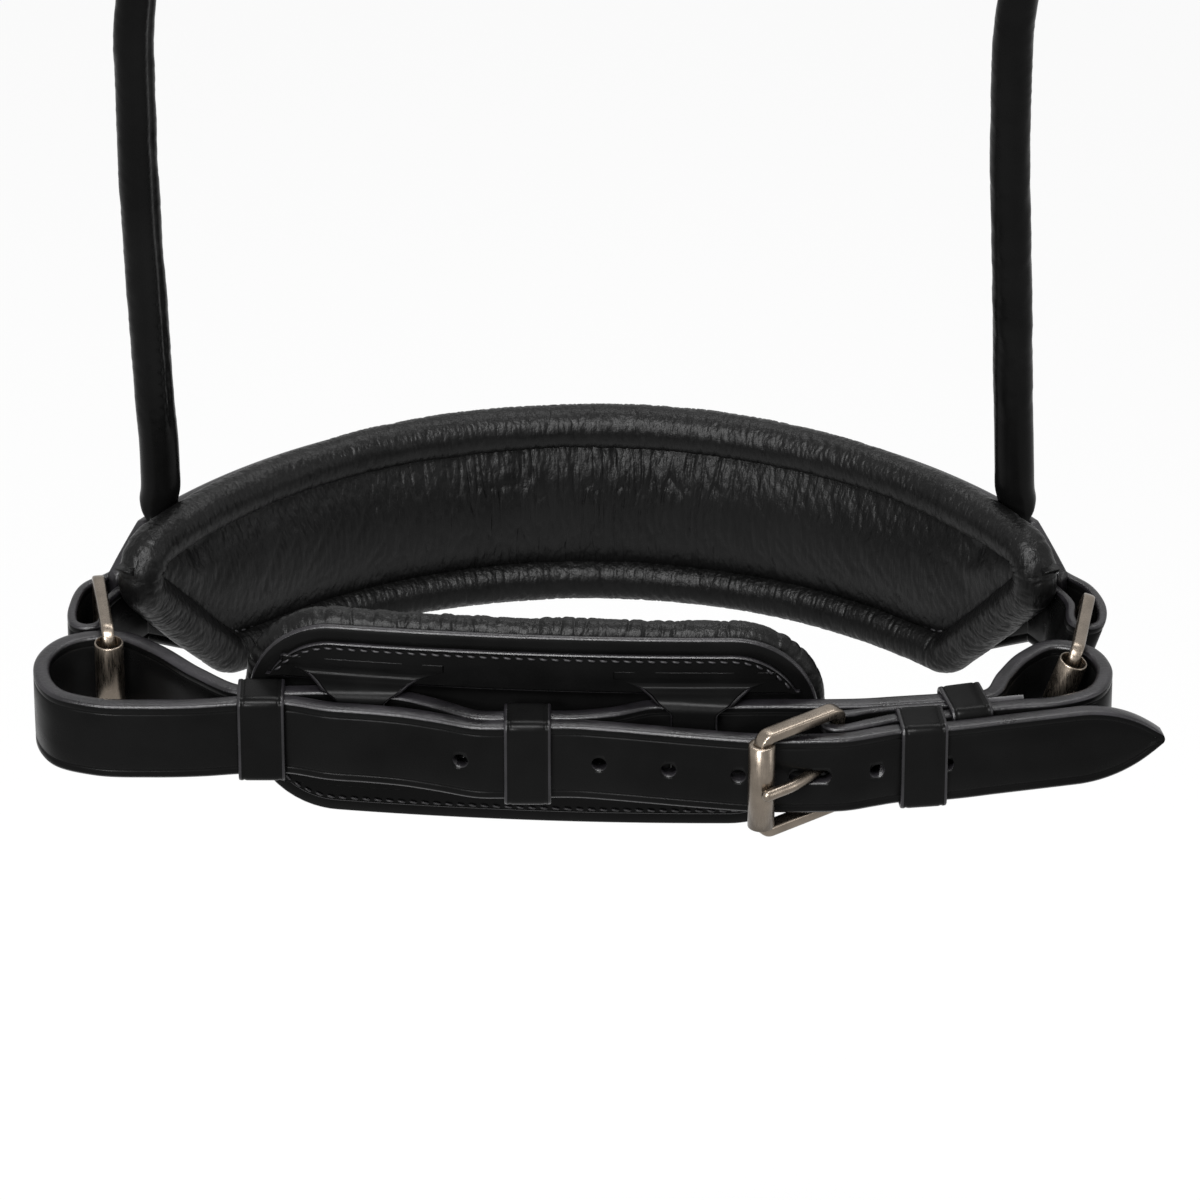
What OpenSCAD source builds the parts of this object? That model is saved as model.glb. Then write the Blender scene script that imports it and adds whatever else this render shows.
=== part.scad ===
// Padded crank noseband on a rolled-cheek sliphead, full horse size.
// Origin: middle of the underside of the crown strap, where it rests on the poll.
// +Z up the head, +Y towards the front of the nose, X across the head.
// Noseband pieces are drawn about their own level, the middle of the crank strap, and lowered into place.

/* [Leather straps] */
// Width of the crank strap
strap_w = 20; // [17:0.5:24]
// Thickness of the crank strap
strap_t = 3.8; // [3.1:0.1:4.6]
// Diameter of the punched holes
hole_d = 4; // [3.2:0.1:4.8]
// Distance between punched holes
hole_pitch = 16.2; // [14:0.1:19]
// Air between leather layers that lie on each other
leather_gap = 0.4; // [0.3:0.05:0.6]
// Thickness of the keeper loops
keeper_t = 1.1; // [0.9:0.1:1.4]
// Width of the wide keepers
keeper_w = 11; // [9:0.5:13]

/* [Nosepiece] */
// Radius of the nosepiece through the middle of its edge roll
nose_r = 122.5; // [100:0.5:148]
// Height of the padded nosepiece
nose_h = 54; // [46:1:64]
// Diameter of the edge roll
roll_d = 11; // [9:0.5:12]
// Thickness of the outer strap
outer_t = 3; // [2.5:0.1:3.8]
// Thickness of the layer of tabs and web under the outer strap
tab_t = 2; // [1.6:0.1:2.4]
// Half angle of the nosepiece at mid height
end_a = 56; // [52:0.5:58]
// Lean of the slanting ends
end_slant = 43; // [38:1:46]

/* [Square rings] */
// Distance between the two bars of a square
square_l = 26.5; // [25:0.5:29]
// Diameter of the ring wire
wire_d = 3; // [2.6:0.1:3.2]
// Outer diameter of the loose tube on a square
tube_d = 6.9; // [6.4:0.1:7.4]
// Lean of the right square
right_lean = 18; // [0:1:20]

/* [Crank buckle] */
// Distance from the roller to the chape bar
buckle_l = 22.2; // [21:0.1:24]
// Diameter of the buckle bars
bar_d = 3.2; // [2.8:0.1:3.6]
// Outer diameter of the buckle roller
buckle_roller_d = 6.3; // [5.9:0.1:6.7]
// Diameter of the tongue
tongue_d = 2.8; // [2.4:0.1:3]
// Running clearance of rollers and tongues on their bars
running_gap = 0.08; // [0.04:0.01:0.1]

/* [Chin pad] */
// Length of the chin pad
chin_l = 137; // [120:1:142]
// Height of the chin pad
chin_h = 54; // [46:1:64]
// Diameter of the chin pad's edge roll
chin_roll_d = 8; // [7:0.5:9]
// Thickness of the backing
backing_t = 1.8; // [1.5:0.1:2.2]
// Thickness of the overlay and its bridges
overlay_t = 1.4; // [1.2:0.1:1.7]

/* [Head strap] */
// Diameter of the rolled cheeks
cheek_d = 9.5; // [8:0.5:11]
// Height from the lower end of the cheeks to the poll
rise = 406; // [340:1:480]
// Length of the rolled part of a cheek
cheek_roll_l = 175; // [160:1:195]
// Width of the crown strap
crown_w = 16; // [14:0.5:19]
// Thickness of the crown strap
crown_t = 3; // [2.5:0.1:3.5]

/* [Hidden] */
$fn = 48;

leather = [0.09, 0.085, 0.09];
soft_leather = [0.12, 0.115, 0.12];
steel = [0.72, 0.70, 0.67];
foam = [0.75, 0.72, 0.6];
cord = [0.8, 0.78, 0.7];
web = [0.2, 0.2, 0.22];

eps = 0.01;
roll_r = roll_d / 2;
roll_z = nose_h / 2 - roll_r;
end_y = -7;
nose_cy = end_y - nose_r * cos(end_a);
skin_t = 1;

// radii of the nosepiece layers, from the nose outwards
lining_r0 = nose_r - roll_r + 1;
foam_r0 = lining_r0 + skin_t + 0.1;
tab_r0 = nose_r + roll_r + 0.3;
foam_r1 = tab_r0 - 0.3;
outer_r0 = tab_r0 + tab_t + 0.3;
outer_r1 = outer_r0 + outer_t;
outer_h = nose_h - 7;

// cheeks stand on their tabs, just behind the top roll
cheek_r = cheek_d / 2;
cheek_ring_r = tab_r0 + tab_t + 0.2;
cheek_a = 51.6;
cheek_x = cheek_ring_r * sin(cheek_a);
cheek_y = nose_cy + cheek_ring_r * cos(cheek_a);
cheek_clear = 0.35;
hinge_z = roll_z + sqrt(pow(cheek_r + roll_r + cheek_clear, 2) - pow(cheek_ring_r - nose_r, 2));
cheek_tab_top = hinge_z - cheek_r - cheek_clear;

// leather folds that hold the squares
fold_t = 2.2;
fold_r = wire_d / 2 + 1 + fold_t / 2;
fold_y = -24.6;
fold_root_r = outer_r1 + 0.3 + fold_t / 2;
fold_inner_r = tab_r0 + fold_t / 2;
left_fold_x = -(nose_r * sin(end_a) + 17.4);
right_fold_x = nose_r * sin(end_a) + 14;

// bars of the squares: back bar in the fold, front bar in the tube
arm_z = strap_w / 2 + 2.9;
arm_t = 2.6;
tube_wall = 0.5;
tube_l = strap_w + 2;
tube_r = tube_d / 2;
tube_drop = tube_r - tube_wall - wire_d / 2 - 0.3;
left_back = [left_fold_x + 1.8, -10.5];
left_dir = [0.143, -0.99];
left_front = left_back + square_l * left_dir;
right_back = [right_fold_x, -17.5];
right_dir = [-0.16, -0.987];
right_front = right_back + square_l * right_dir;

// crank buckle
chape_bar = [58.4, -70.5];
buckle_dir = [-0.811, -0.585];
roller_bar = chape_bar + buckle_l * buckle_dir;
bar_r = bar_d / 2;
buckle_arm_z = strap_w / 2 + 2.8;
chape_t = 2.6;
chape_r = bar_r + 0.3 + chape_t / 2;
tongue_r = tongue_d / 2;
tongue_ring_w = 3;
roller_r = buckle_roller_d / 2;
tongue_touch = roller_r + tongue_r + 0.06;

// chin pad: a shallow arc, its front face touching the inner leg of the strap
chin_at = [-12.8, -55.6];
chin_turn = -3.8;
chin_sag = 3.6;
chin_arc_r = chin_l * chin_l / (8 * chin_sag);
chin_corner = 22;

// crank strap centre line: distance of two legs that lie together, and the legs' places
leg = strap_t + leather_gap;
// front face of the chin pad, seen from above
function chin_front(x) = -chin_sag + x * x / (2 * chin_arc_r);
function pad_y(x) = chin_at.y + (x - chin_at.x) * tan(chin_turn) + chin_front(x - chin_at.x);
function inner_y(x) = pad_y(x) - leather_gap - strap_t / 2;
bridge_clear = strap_t + leather_gap + 0.9;
overlay_gap = 0.2;
function outer_y(x) = pad_y(x) - overlay_gap - bridge_clear - overlay_t - 1.2 - strap_t / 2;
inner_keeper_y = pad_y(-71) - keeper_t - strap_t / 2 - 1.2;
inner_mid_y = -67.8;
outer_mid_y = inner_mid_y - leg;
under_roller_y = roller_bar.y + roller_r + 0.3 + strap_t / 2;
over_bar_y = chape_bar.y - chape_r - chape_t / 2 - leather_gap - strap_t / 2 - 0.7;
stack_y = -68.35;
chape_leg_t = strap_t - 0.6;
tip_leg_y = stack_y - (chape_leg_t + strap_t) / 2 - 1.55;
turn_back_t = 1.8;
turn_back_y = stack_y + (chape_leg_t + turn_back_t) / 2 + keeper_t + 0.6;
inner_stack_y = turn_back_y + (turn_back_t + strap_t) / 2 + 0.3;

// each row is [x, y, thickness]
turn_back = [
    [102, turn_back_y + 4.2, 1.4],
    [94, turn_back_y + 2.7, turn_back_t - 0.2],
    [88, turn_back_y + 1.4, turn_back_t],
    [83, turn_back_y + 0.65, turn_back_t],
    [77.5, turn_back_y, turn_back_t],
    [72, turn_back_y - 0.65, turn_back_t],
    [66, turn_back_y - 1.75, 2]];
bar_turn = [for (a = [75 : 30 : 285])
    [chape_bar.x + chape_r * cos(a), chape_bar.y + chape_r * sin(a), chape_t]];
chape_leg = [
    [66, stack_y - 2.9, chape_leg_t],
    [72, stack_y - 0.7, chape_leg_t],
    [77.5, stack_y, chape_leg_t],
    [83, stack_y + 0.65, chape_leg_t],
    [88, stack_y + 2.3, chape_leg_t],
    [94, stack_y + 4, chape_leg_t + 0.2],
    [101, stack_y + 5.4, strap_t],
    [right_front.x - 1.8, right_front.y - 18.1, strap_t],
    [right_front.x + 7.8, right_front.y - 12.9, strap_t],
    [right_front.x + 10.3, right_front.y - 3.3, strap_t],
    [right_front.x + 6.4, right_front.y + 5.1, strap_t],
    [right_front.x - 1.4, right_front.y + 7.5, strap_t],
    [right_front.x - 8.2, right_front.y + 2.2, strap_t],
    [right_front.x - 13.2, right_front.y - 6.2, strap_t]];
inner_leg = [
    [94, inner_stack_y + 2.65, strap_t],
    [88, inner_stack_y + 1.45, strap_t],
    [83, inner_stack_y + 0.65, strap_t],
    [77.5, inner_stack_y, strap_t],
    [72, inner_stack_y - 0.65, strap_t],
    [66, inner_stack_y - 1.4, strap_t],
    [57, inner_y(57) - 0.5, strap_t],
    [45, inner_y(45), strap_t],
    [33, inner_y(33), strap_t],
    [21, inner_y(21), strap_t],
    [15, inner_y(15) - 0.4, strap_t],
    [6, inner_mid_y + 1.4, strap_t],
    [-2, inner_mid_y, strap_t],
    [-14, inner_mid_y, strap_t],
    [-26, inner_mid_y, strap_t],
    [-35, inner_mid_y + 4.8, strap_t],
    [-43, inner_y(-43) - 0.6, strap_t],
    [-52, inner_y(-52), strap_t],
    [-60, inner_y(-60), strap_t],
    [-71, inner_keeper_y, strap_t],
    [-82, inner_keeper_y + 0.4, strap_t]];
left_seat_y = left_front.y + left_dir.y * tube_drop + tube_r + 0.3 + strap_t / 2;
left_loop = [
    [left_front.x + 21.8, left_front.y - 12.4, strap_t],
    [left_front.x + 10.6, left_front.y - 0.8, strap_t],
    [left_front.x + 3.4, left_seat_y - 0.3, strap_t],
    [left_front.x - 2.6, left_seat_y + 0.3, strap_t],
    [left_front.x - 10.1, left_seat_y - 2.4, strap_t],
    [left_front.x - 14.8, left_front.y - 5.3, strap_t],
    [left_front.x - 15, left_front.y - 13.3, strap_t],
    [left_front.x - 11.2, left_front.y - 21.3, strap_t],
    [left_front.x - 2.6, left_front.y - 25.3, strap_t],
    [left_front.x + 10.8, left_front.y - 26.3, strap_t]];
outer_leg = [
    [-90, inner_keeper_y - leg - 1.4, strap_t],
    [-82, inner_keeper_y - leg - 0.4, strap_t],
    [-71, inner_keeper_y - leg, strap_t],
    [-60, outer_y(-60), strap_t],
    [-52, outer_y(-52), strap_t],
    [-43, outer_y(-43) - 0.5, strap_t],
    [-34, outer_mid_y + 2.6, strap_t],
    [-26, outer_mid_y, strap_t],
    [-14, outer_mid_y, strap_t],
    [-2, outer_mid_y, strap_t],
    [5, outer_mid_y - 0.9, strap_t],
    [14.4, outer_mid_y - 2.4, strap_t],
    [25, under_roller_y + 2.0, strap_t],
    [roller_bar.x, under_roller_y, strap_t],
    [52, over_bar_y - 0.2, strap_t],
    [60.9, over_bar_y + 0.5, strap_t],
    [66, tip_leg_y - 2.5, strap_t],
    [72, tip_leg_y - 0.7, strap_t],
    [77.5, tip_leg_y, strap_t],
    [83, tip_leg_y + 0.5, strap_t],
    [88, tip_leg_y + 1.4, strap_t],
    [94, tip_leg_y + 2.8, strap_t],
    [104, tip_leg_y + 5, strap_t],
    [118, tip_leg_y + 8.1, strap_t],
    [138, tip_leg_y + 12.5, strap_t]];
crank_line = concat(turn_back, bar_turn, chape_leg, inner_leg, left_loop, outer_leg);
tip_l = 32.5;
tip_turn = 12.4;
tip_point_l = 22;
tongue_hole_x = 51.8;
first_hole = -5;
last_hole = 2;

// crown strap and its buckle, on the left cheek
crown_c = [0, -(cheek_x - crown_t / 2)];
roll_top_z = -rise + cheek_roll_l;
crown_bar_r = 1.6;
crown_buckle_l = 18;
crown_bar = [-cheek_x, -146];
crown_fold_t = 2.2;
crown_fold_r = crown_bar_r + 0.3 + crown_fold_t / 2;
crown_top_bar = [-cheek_x - crown_t / 2 - 0.3 - crown_bar_r, crown_bar.y + crown_buckle_l];
crown_out_x = crown_bar.x - crown_fold_r - crown_fold_t / 2 - 0.3 - crown_t / 2;
chape_out_t = 2.4;
chape_out_x = -cheek_x - 1.4;
crown_low_x = chape_out_x - chape_out_t / 2 - leather_gap - crown_t / 2;
crown_arm_y = crown_w / 2 + 2.6;
crown_tip_z = -214;
crown_tongue_r = 1.1;
crown_tongue_w = 2.6;
crown_hole_pitch = 20;
crown_hole_z = -139.5;
crown_line = concat(
    [[cheek_x, roll_top_z, crown_t], [cheek_x, -190, crown_t], [cheek_x, -150, crown_t], [cheek_x, -120, crown_t]],
    [for (a = [0 : 12 : 180]) [cheek_x * cos(a), crown_c.y + cheek_x * sin(a), crown_t]],
    [[-cheek_x, -116, crown_t],
     [-cheek_x, crown_top_bar.y, crown_t],
     [-cheek_x - 1.4, crown_top_bar.y - 8, crown_t],
     [crown_out_x + 0.7, crown_bar.y + 3, crown_t],
     [crown_out_x, crown_bar.y - 2, crown_t],
     [crown_out_x + 0.4, crown_bar.y - 8, crown_t],
     [crown_low_x, crown_bar.y - 18, crown_t],
     [crown_low_x, -180, crown_t],
     [crown_low_x, crown_tip_z + 9, crown_t]]);
chape_line = concat(
    [[-cheek_x + 1.6, -196, 1.4], [-cheek_x + 1.4, -180, 2], [-cheek_x + 1.5, -163, 2], [-cheek_x + 2.2, -154, 2.2]],
    [for (a = [-15 : 30 : 195])
        [crown_bar.x + crown_fold_r * cos(a), crown_bar.y + crown_fold_r * sin(a), crown_fold_t]],
    [[-cheek_x - 2.4, -154, 2.2], [chape_out_x, -163, chape_out_t], [chape_out_x, -185, chape_out_t],
     [chape_out_x + 0.3, -205, chape_out_t], [-cheek_x, roll_top_z + 12, 3],
     [-cheek_x, roll_top_z + 6, 3], [-cheek_x, roll_top_z, 3]]);

// ---- curves ----
function unit(v) = v / norm(v);
function span(a, b) = max(norm([b.x - a.x, b.y - a.y]), eps);
// slope of the line at row i, in units per millimetre
function slope(p, i) = let (m = len(p) - 1, a = p[max(i - 1, 0)], b = p[i], c = p[min(i + 1, m)],
    before = span(a, b), after = span(b, c))
    i == 0 ? (c - b) / after : i == m ? (b - a) / before :
    ((b - a) * after / before + (c - b) * before / after) / (before + after);
function between(p, i, t) = let (l = span(p[i], p[i + 1]))
    (2 * t * t * t - 3 * t * t + 1) * p[i] + (t * t * t - 2 * t * t + t) * l * slope(p, i)
    + (3 * t * t - 2 * t * t * t) * p[i + 1] + (t * t * t - t * t) * l * slope(p, i + 1);
// smooth line through all the rows, n steps from each to the next
function smooth(p, n) = let (m = len(p) - 1) concat(
    [for (i = [0 : m - 1], k = [0 : n - 1]) between(p, i, k / n)],
    [p[m]]);
function along(p, i) = let (a = p[max(i - 1, 0)], b = p[min(i + 1, len(p) - 1)]) unit([b.x - a.x, b.y - a.y]);
function side(p, s) = [for (i = [0 : len(p) - 1]) let (d = along(p, i))
    [p[i].x - s * d.y * p[i][2] / 2, p[i].y + s * d.x * p[i][2] / 2]];
function reversed(p) = [for (i = [len(p) - 1 : -1 : 0]) p[i]];
// height of a smooth line over x, from its rows
function line_y(p, x) = lookup(x, [for (q = p) [q.x, q.y]]);

// strip of leather seen from its edge
module strip(line, n = 4) {
    p = smooth(line, n);
    polygon(concat(side(p, 1), reversed(side(p, -1))));
}

// tube along a closed path; each row is [centre, outward direction]
module closed_tube(rows, r, sides = 10) {
    m = len(rows);
    points = [for (i = [0 : m - 1])
        let (t = unit(rows[(i + 1) % m][0] - rows[(i + m - 1) % m][0]),
             b = unit(cross(t, rows[i][1])),
             n = cross(b, t))
        for (k = [0 : sides - 1]) rows[i][0] + r * (cos(360 * k / sides) * n + sin(360 * k / sides) * b)];
    faces = [for (i = [0 : m - 1], k = [0 : sides - 1])
        let (j = (i + 1) % m, l = (k + 1) % sides)
        [i * sides + k, j * sides + k, j * sides + l, i * sides + l]];
    polyhedron(points, faces, convexity = 8);
}

// ---- placing ----
module at_noseband() translate([0, -cheek_y, -rise - hinge_z]) children();
module at_plan(p) translate([p.x, p.y, 0]) children();
module upright(h) translate([0, 0, -h / 2]) linear_extrude(h) children();

// part of a ring round the nose, between two radii, angles counted from the front of the nose
module nose_band(r0, r1, a0, a1, z0, z1)
    translate([0, nose_cy, 0]) rotate([0, 0, 90 - a1]) rotate_extrude(angle = a1 - a0, $fn = 160)
        translate([r0, z0]) square([r1 - r0, z1 - z0]);

// removes what lies past the slanting ends
module cut_ends(a, slant) difference() {
    children();
    for (s = [-1, 1]) translate([0, nose_cy, 0]) rotate([0, 0, -s * a]) translate([0, nose_r, 0])
        rotate([0, s * slant, 0]) translate([s > 0 ? 0 : -120, -40, -120]) cube([120, 80, 240]);
}

// closed outline with each corner rounded; n points to an arc, and steps[i] points along side i
function rounded(poly, r, n, steps) = let (m = len(poly)) [for (i = [0 : m - 1])
    let (a = poly[(i + m - 1) % m], b = poly[i], c = poly[(i + 1) % m],
         d1 = unit(a - b), d2 = unit(c - b), half = acos(d1 * d2) / 2,
         o = b + unit(d1 + d2) * r / sin(half), v1 = b + d1 * r / tan(half) - o,
         a1 = atan2(v1.y, v1.x), turn = -sign(cross(d1, d2)) * (180 - 2 * half),
         e = o + r * [cos(a1 + turn), sin(a1 + turn)],
         nd = poly[(i + 2) % m], half2 = acos(unit(b - c) * unit(nd - c)) / 2,
         f = c + unit(b - c) * r / tan(half2))
    each concat([for (k = [0 : n - 1]) o + r * [cos(a1 + turn * k / n), sin(a1 + turn * k / n)]],
        [for (k = [0 : steps[i] - 1]) e + (f - e) * k / steps[i]])];

// line of the nosepiece's roll: top arc, slanting end, bottom arc, slanting end
roll_corner_r = roll_r + 0.8;
roll_mid = (end_a - 1) * PI / 180 * nose_r;
roll_slant = roll_z * tan(end_slant);
function nose_rows() = [for (q = rounded(
        [[-roll_mid - roll_slant, roll_z], [roll_mid + roll_slant, roll_z],
         [roll_mid - roll_slant, -roll_z], [-roll_mid + roll_slant, -roll_z]],
        roll_corner_r, 6, [24, 4, 16, 4]))
    let (a = q.x / nose_r * 180 / PI)
    [[nose_r * sin(a), nose_cy + nose_r * cos(a), q.y], [sin(a), cos(a), 0]]];

// ---- nosepiece ----
strap_end_a = 59.5;
module nose_strap() color(leather) at_noseband()
    cut_ends(67, -53) cut_ends(63, 56)
        nose_band(outer_r0, outer_r1, -strap_end_a, strap_end_a, -outer_h / 2, outer_h / 2);

module nose_web() color(web) at_noseband()
    nose_band(tab_r0, tab_r0 + tab_t, -44, 44, -15, 15);

module nose_foam() color(foam) at_noseband()
    cut_ends(end_a - 6, end_slant)
        nose_band(foam_r0, foam_r1, -66, 66, -foam_z, foam_z);
foam_z = roll_z - roll_r - 0.3;

module nose_lining() color(soft_leather) at_noseband()
    cut_ends(end_a - 6, end_slant)
        nose_band(lining_r0, lining_r0 + skin_t, -66, 66, -foam_z, foam_z);

module nose_edge_roll() color(soft_leather) at_noseband() difference() {
    closed_tube(nose_rows(), roll_r);
    closed_tube(nose_rows(), roll_r - skin_t);
}

module nose_edge_cord() color(cord) at_noseband()
    closed_tube(nose_rows(), roll_r - skin_t - 0.2);

// flat end of a cheek, sewn in under the outer strap
module cheek_tab(s) color(leather) at_noseband()
    nose_band(tab_r0, tab_r0 + tab_t, s > 0 ? 48.9 : -54.3, s > 0 ? 54.3 : -48.9, 3, cheek_tab_top);
module left_cheek_tab() cheek_tab(-1);
module right_cheek_tab() cheek_tab(1);

// ---- ring tabs: a leather fold round the back bar, its legs sewn to the outer strap ----
// leans a square about the line of its arms
module rolled_over(p, dir, lean) at_plan(p) rotate(-lean, [dir.x, dir.y, 0]) at_plan(-p) children();
function on_nose(r, a) = [r * sin(a), nose_cy + r * cos(a)];
// rows of the fold: [x, y, thickness, share of the lean]
function tab_row(p, lean_share) = [p.x, p.y, fold_t, lean_share];
function tab_line(s, fold_x, bulge, leave_a) = concat(
    [for (a = [46 : 3 : 58]) tab_row(on_nose(fold_root_r, s * a), 0)],
    [tab_row(on_nose(fold_root_r + bulge, s * 61), 0.3)],
    [tab_row([fold_x + s * fold_r, fold_y + 7], 1)],
    [for (a = [0 : -30 : -180]) tab_row([fold_x + s * fold_r * cos(a), fold_y + fold_r * sin(a)], 1)],
    [tab_row([fold_x - s * fold_r, fold_y + 7], 1)],
    [for (a = [leave_a, (leave_a + 55.6) / 2, 55.6]) tab_row(on_nose(fold_inner_r, s * a), 0)]);
// strip of leather whose edges are sheared by the lean
module sheared_strip(line, h, lean) {
    p = smooth(line, 3);
    m = len(p);
    l = side(p, 1);
    r = side(p, -1);
    ring = concat([for (i = [0 : m - 1]) [l[i].x, l[i].y, p[i][3]]],
        [for (i = [m - 1 : -1 : 0]) [r[i].x, r[i].y, p[i][3]]]);
    n = len(ring);
    points = [for (z = [-h / 2, h / 2], q = ring) [q.x + z * tan(lean) * q.z, q.y, z]];
    // the two outlines are closed with a cell between each pair of rows
    cells = [for (i = [0 : m - 2]) [i, i + 1, n - 2 - i, n - 1 - i]];
    up = sign(cross(l[1] - l[0], r[0] - l[0]));
    walls = [for (i = [0 : n - 1]) [i, (i + 1) % n, (i + 1) % n + n, i + n]];
    caps = concat([for (c = cells) c], [for (c = cells) [for (k = [3 : -1 : 0]) c[k] + n]]);
    faces = concat(caps, [for (w = walls) [for (k = [3 : -1 : 0]) w[k]]]);
    polyhedron(points, up < 0 ? faces : [for (f = faces) reversed(f)], convexity = 8);
}
module ring_tab(s, fold_x, bulge, leave_a, lean) color(leather) at_noseband()
    sheared_strip(tab_line(s, fold_x, bulge, leave_a), strap_w, lean);
module left_ring_tab() ring_tab(-1, left_fold_x, 2.3, 60.5, 0);
module right_ring_tab() ring_tab(1, right_fold_x, 0.6, 58.8, right_lean);

// ---- squares and their tubes ----
module square_ring(back, dir) at_plan(back) rotate([0, 0, atan2(dir.y, dir.x)]) {
    cylinder(d = wire_d, h = 2 * arm_z, center = true);
    translate([square_l, 0, 0]) cylinder(d = wire_d, h = 2 * arm_z, center = true);
    for (s = [-1, 1]) translate([-wire_d / 2, -wire_d / 2, s * arm_z - arm_t / 2])
        cube([square_l + wire_d, wire_d, arm_t]);
}
module square_tube(front, dir) at_plan(front + tube_drop * dir) difference() {
    cylinder(r = tube_r, h = tube_l, center = true);
    cylinder(r = tube_r - tube_wall, h = tube_l + 1, center = true);
}
module left_square() color(steel) at_noseband() square_ring(left_back, left_dir);
module left_tube() color(steel) at_noseband() square_tube(left_front, left_dir);
module right_square() color(steel) at_noseband() rolled_over(right_back, right_dir, right_lean)
    square_ring(right_back, right_dir);
module right_tube() color(steel) at_noseband() rolled_over(right_back, right_dir, right_lean)
    square_tube(right_front, right_dir);

// ---- crank strap ----
outer_curve = smooth(outer_leg, 4);
module crank_hole(x) translate([x, line_y(outer_curve, x) - 4, 0]) rotate([-90, 0, 0])
    cylinder(d = hole_d, h = 4 + strap_t / 2 + leather_gap / 2 + 0.2, $fn = 32);

// pointed end: straight sides, then two arcs that meet
module pointed(l, w, point_l) {
    r = (point_l * point_l + w * w / 4) / w;
    translate([0, -w / 2]) square([l - point_l, w]);
    intersection() {
        translate([l - point_l, w / 2 - r]) circle(r, $fn = 96);
        translate([l - point_l, r - w / 2]) circle(r, $fn = 96);
        translate([l - point_l - eps, -w / 2]) square([point_l + 1, w]);
    }
}

// what is cut away to leave the strap's point
module tip_waste() {
    r = (tip_point_l * tip_point_l + strap_w * strap_w / 4) / strap_w;
    translate([104, tip_leg_y + 5, 0]) rotate([0, 0, tip_turn]) rotate([90, 0, 0])
        linear_extrude(12, center = true) difference() {
            translate([tip_l - tip_point_l, -strap_w]) square([tip_point_l + 20, 2 * strap_w]);
            intersection() {
                translate([tip_l - tip_point_l, strap_w / 2 + 0.06 - r]) circle(r, $fn = 96);
                translate([tip_l - tip_point_l, r - strap_w / 2 - 0.06]) circle(r, $fn = 96);
            }
        }
}

module crank_strap() color(leather) at_noseband() difference() {
    upright(strap_w) strip(crank_line);
    tip_waste();
    for (k = [first_hole : last_hole]) if (k != 0) crank_hole(tongue_hole_x - 0.5 + k * hole_pitch);
    // the tongue's own hole, drawn long by the tongue
    for (dx = [-3.2, 3.2]) crank_hole(tongue_hole_x + dx);
    translate([tongue_hole_x - 3.2, line_y(outer_curve, tongue_hole_x) - 4, 0.05 - hole_d / 2])
        cube([6.4, 4 + strap_t / 2 + 0.4, hole_d - 0.1]);
    // slot in the chape for the tongue
    translate([chape_bar.x - 8, chape_bar.y - chape_r - chape_t / 2 - 0.2, -tongue_ring_w / 2 - 0.5])
        cube([13, 2 * chape_r + chape_t + 0.3, tongue_ring_w + 1]);
}

// ---- keepers: thin loops of leather round the legs ----
// y_front and y_back are the faces that the loop goes round
module keeper_loop(x0, x1, y_front, y_back, h, g = 0.3)
    translate([x0, 0, 0]) rotate([90, 0, 90]) linear_extrude(x1 - x0) difference() {
        translate([y_front - g - keeper_t, -h / 2 - g - keeper_t])
            square([y_back - y_front + 2 * g + 2 * keeper_t, h + 2 * g + 2 * keeper_t]);
        translate([y_front - g, -h / 2 - g]) square([y_back - y_front + 2 * g, h + 2 * g]);
    }
module left_keeper() color(leather) at_noseband()
    keeper_loop(-82, -82 + keeper_w, inner_keeper_y - leg - strap_t / 2 - 0.5,
        inner_keeper_y + strap_t / 2 + 0.5, strap_w);
module middle_keeper() color(leather) at_noseband()
    keeper_loop(-14 - keeper_w / 2, -14 + keeper_w / 2, outer_mid_y - strap_t / 2 - 0.3,
        inner_mid_y + strap_t / 2 + 0.3, strap_w);
module buckle_keeper() color(leather) at_noseband()
    translate([77.5, stack_y, 0]) rotate([0, 0, 7.3])
        keeper_loop(-keeper_w / 2, keeper_w / 2, tip_leg_y - stack_y - strap_t / 2 - 0.35,
            chape_leg_t / 2 + 0.05, strap_w, 0.2);
module right_keeper() color(leather) at_noseband()
    translate([88.5, stack_y + 5.35, 0]) rotate([0, 0, 13.7])
        keeper_loop(-5, 5, -chape_leg_t / 2 - 3.2, inner_stack_y - stack_y - 5.35 + 1.6 + strap_t / 2 + 0.9, strap_w);

// ---- crank buckle ----
module bar_at(p, d, h) at_plan(p) cylinder(d = d, h = h, center = true);
module crank_buckle_frame() color(steel) at_noseband() {
    bar_at(chape_bar, bar_d, 2 * buckle_arm_z);
    bar_at(roller_bar, bar_d, 2 * buckle_arm_z);
    at_plan(chape_bar) rotate([0, 0, atan2(buckle_dir.y, buckle_dir.x)])
        for (s = [-1, 1]) translate([-2, -2, s * buckle_arm_z - 1.4]) cube([buckle_l + 4, 4, 2.8]);
}
module crank_roller() color(steel) at_noseband() at_plan(roller_bar) difference() {
    cylinder(r = roller_r, h = 2 * buckle_arm_z - 3.4, center = true);
    cylinder(r = bar_r + running_gap, h = 2 * buckle_arm_z, center = true);
}

tongue_bend = [48.5, -83.2];
tongue_tip = [roller_bar.x + 0.2, roller_bar.y - tongue_touch - 0.9];
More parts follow.
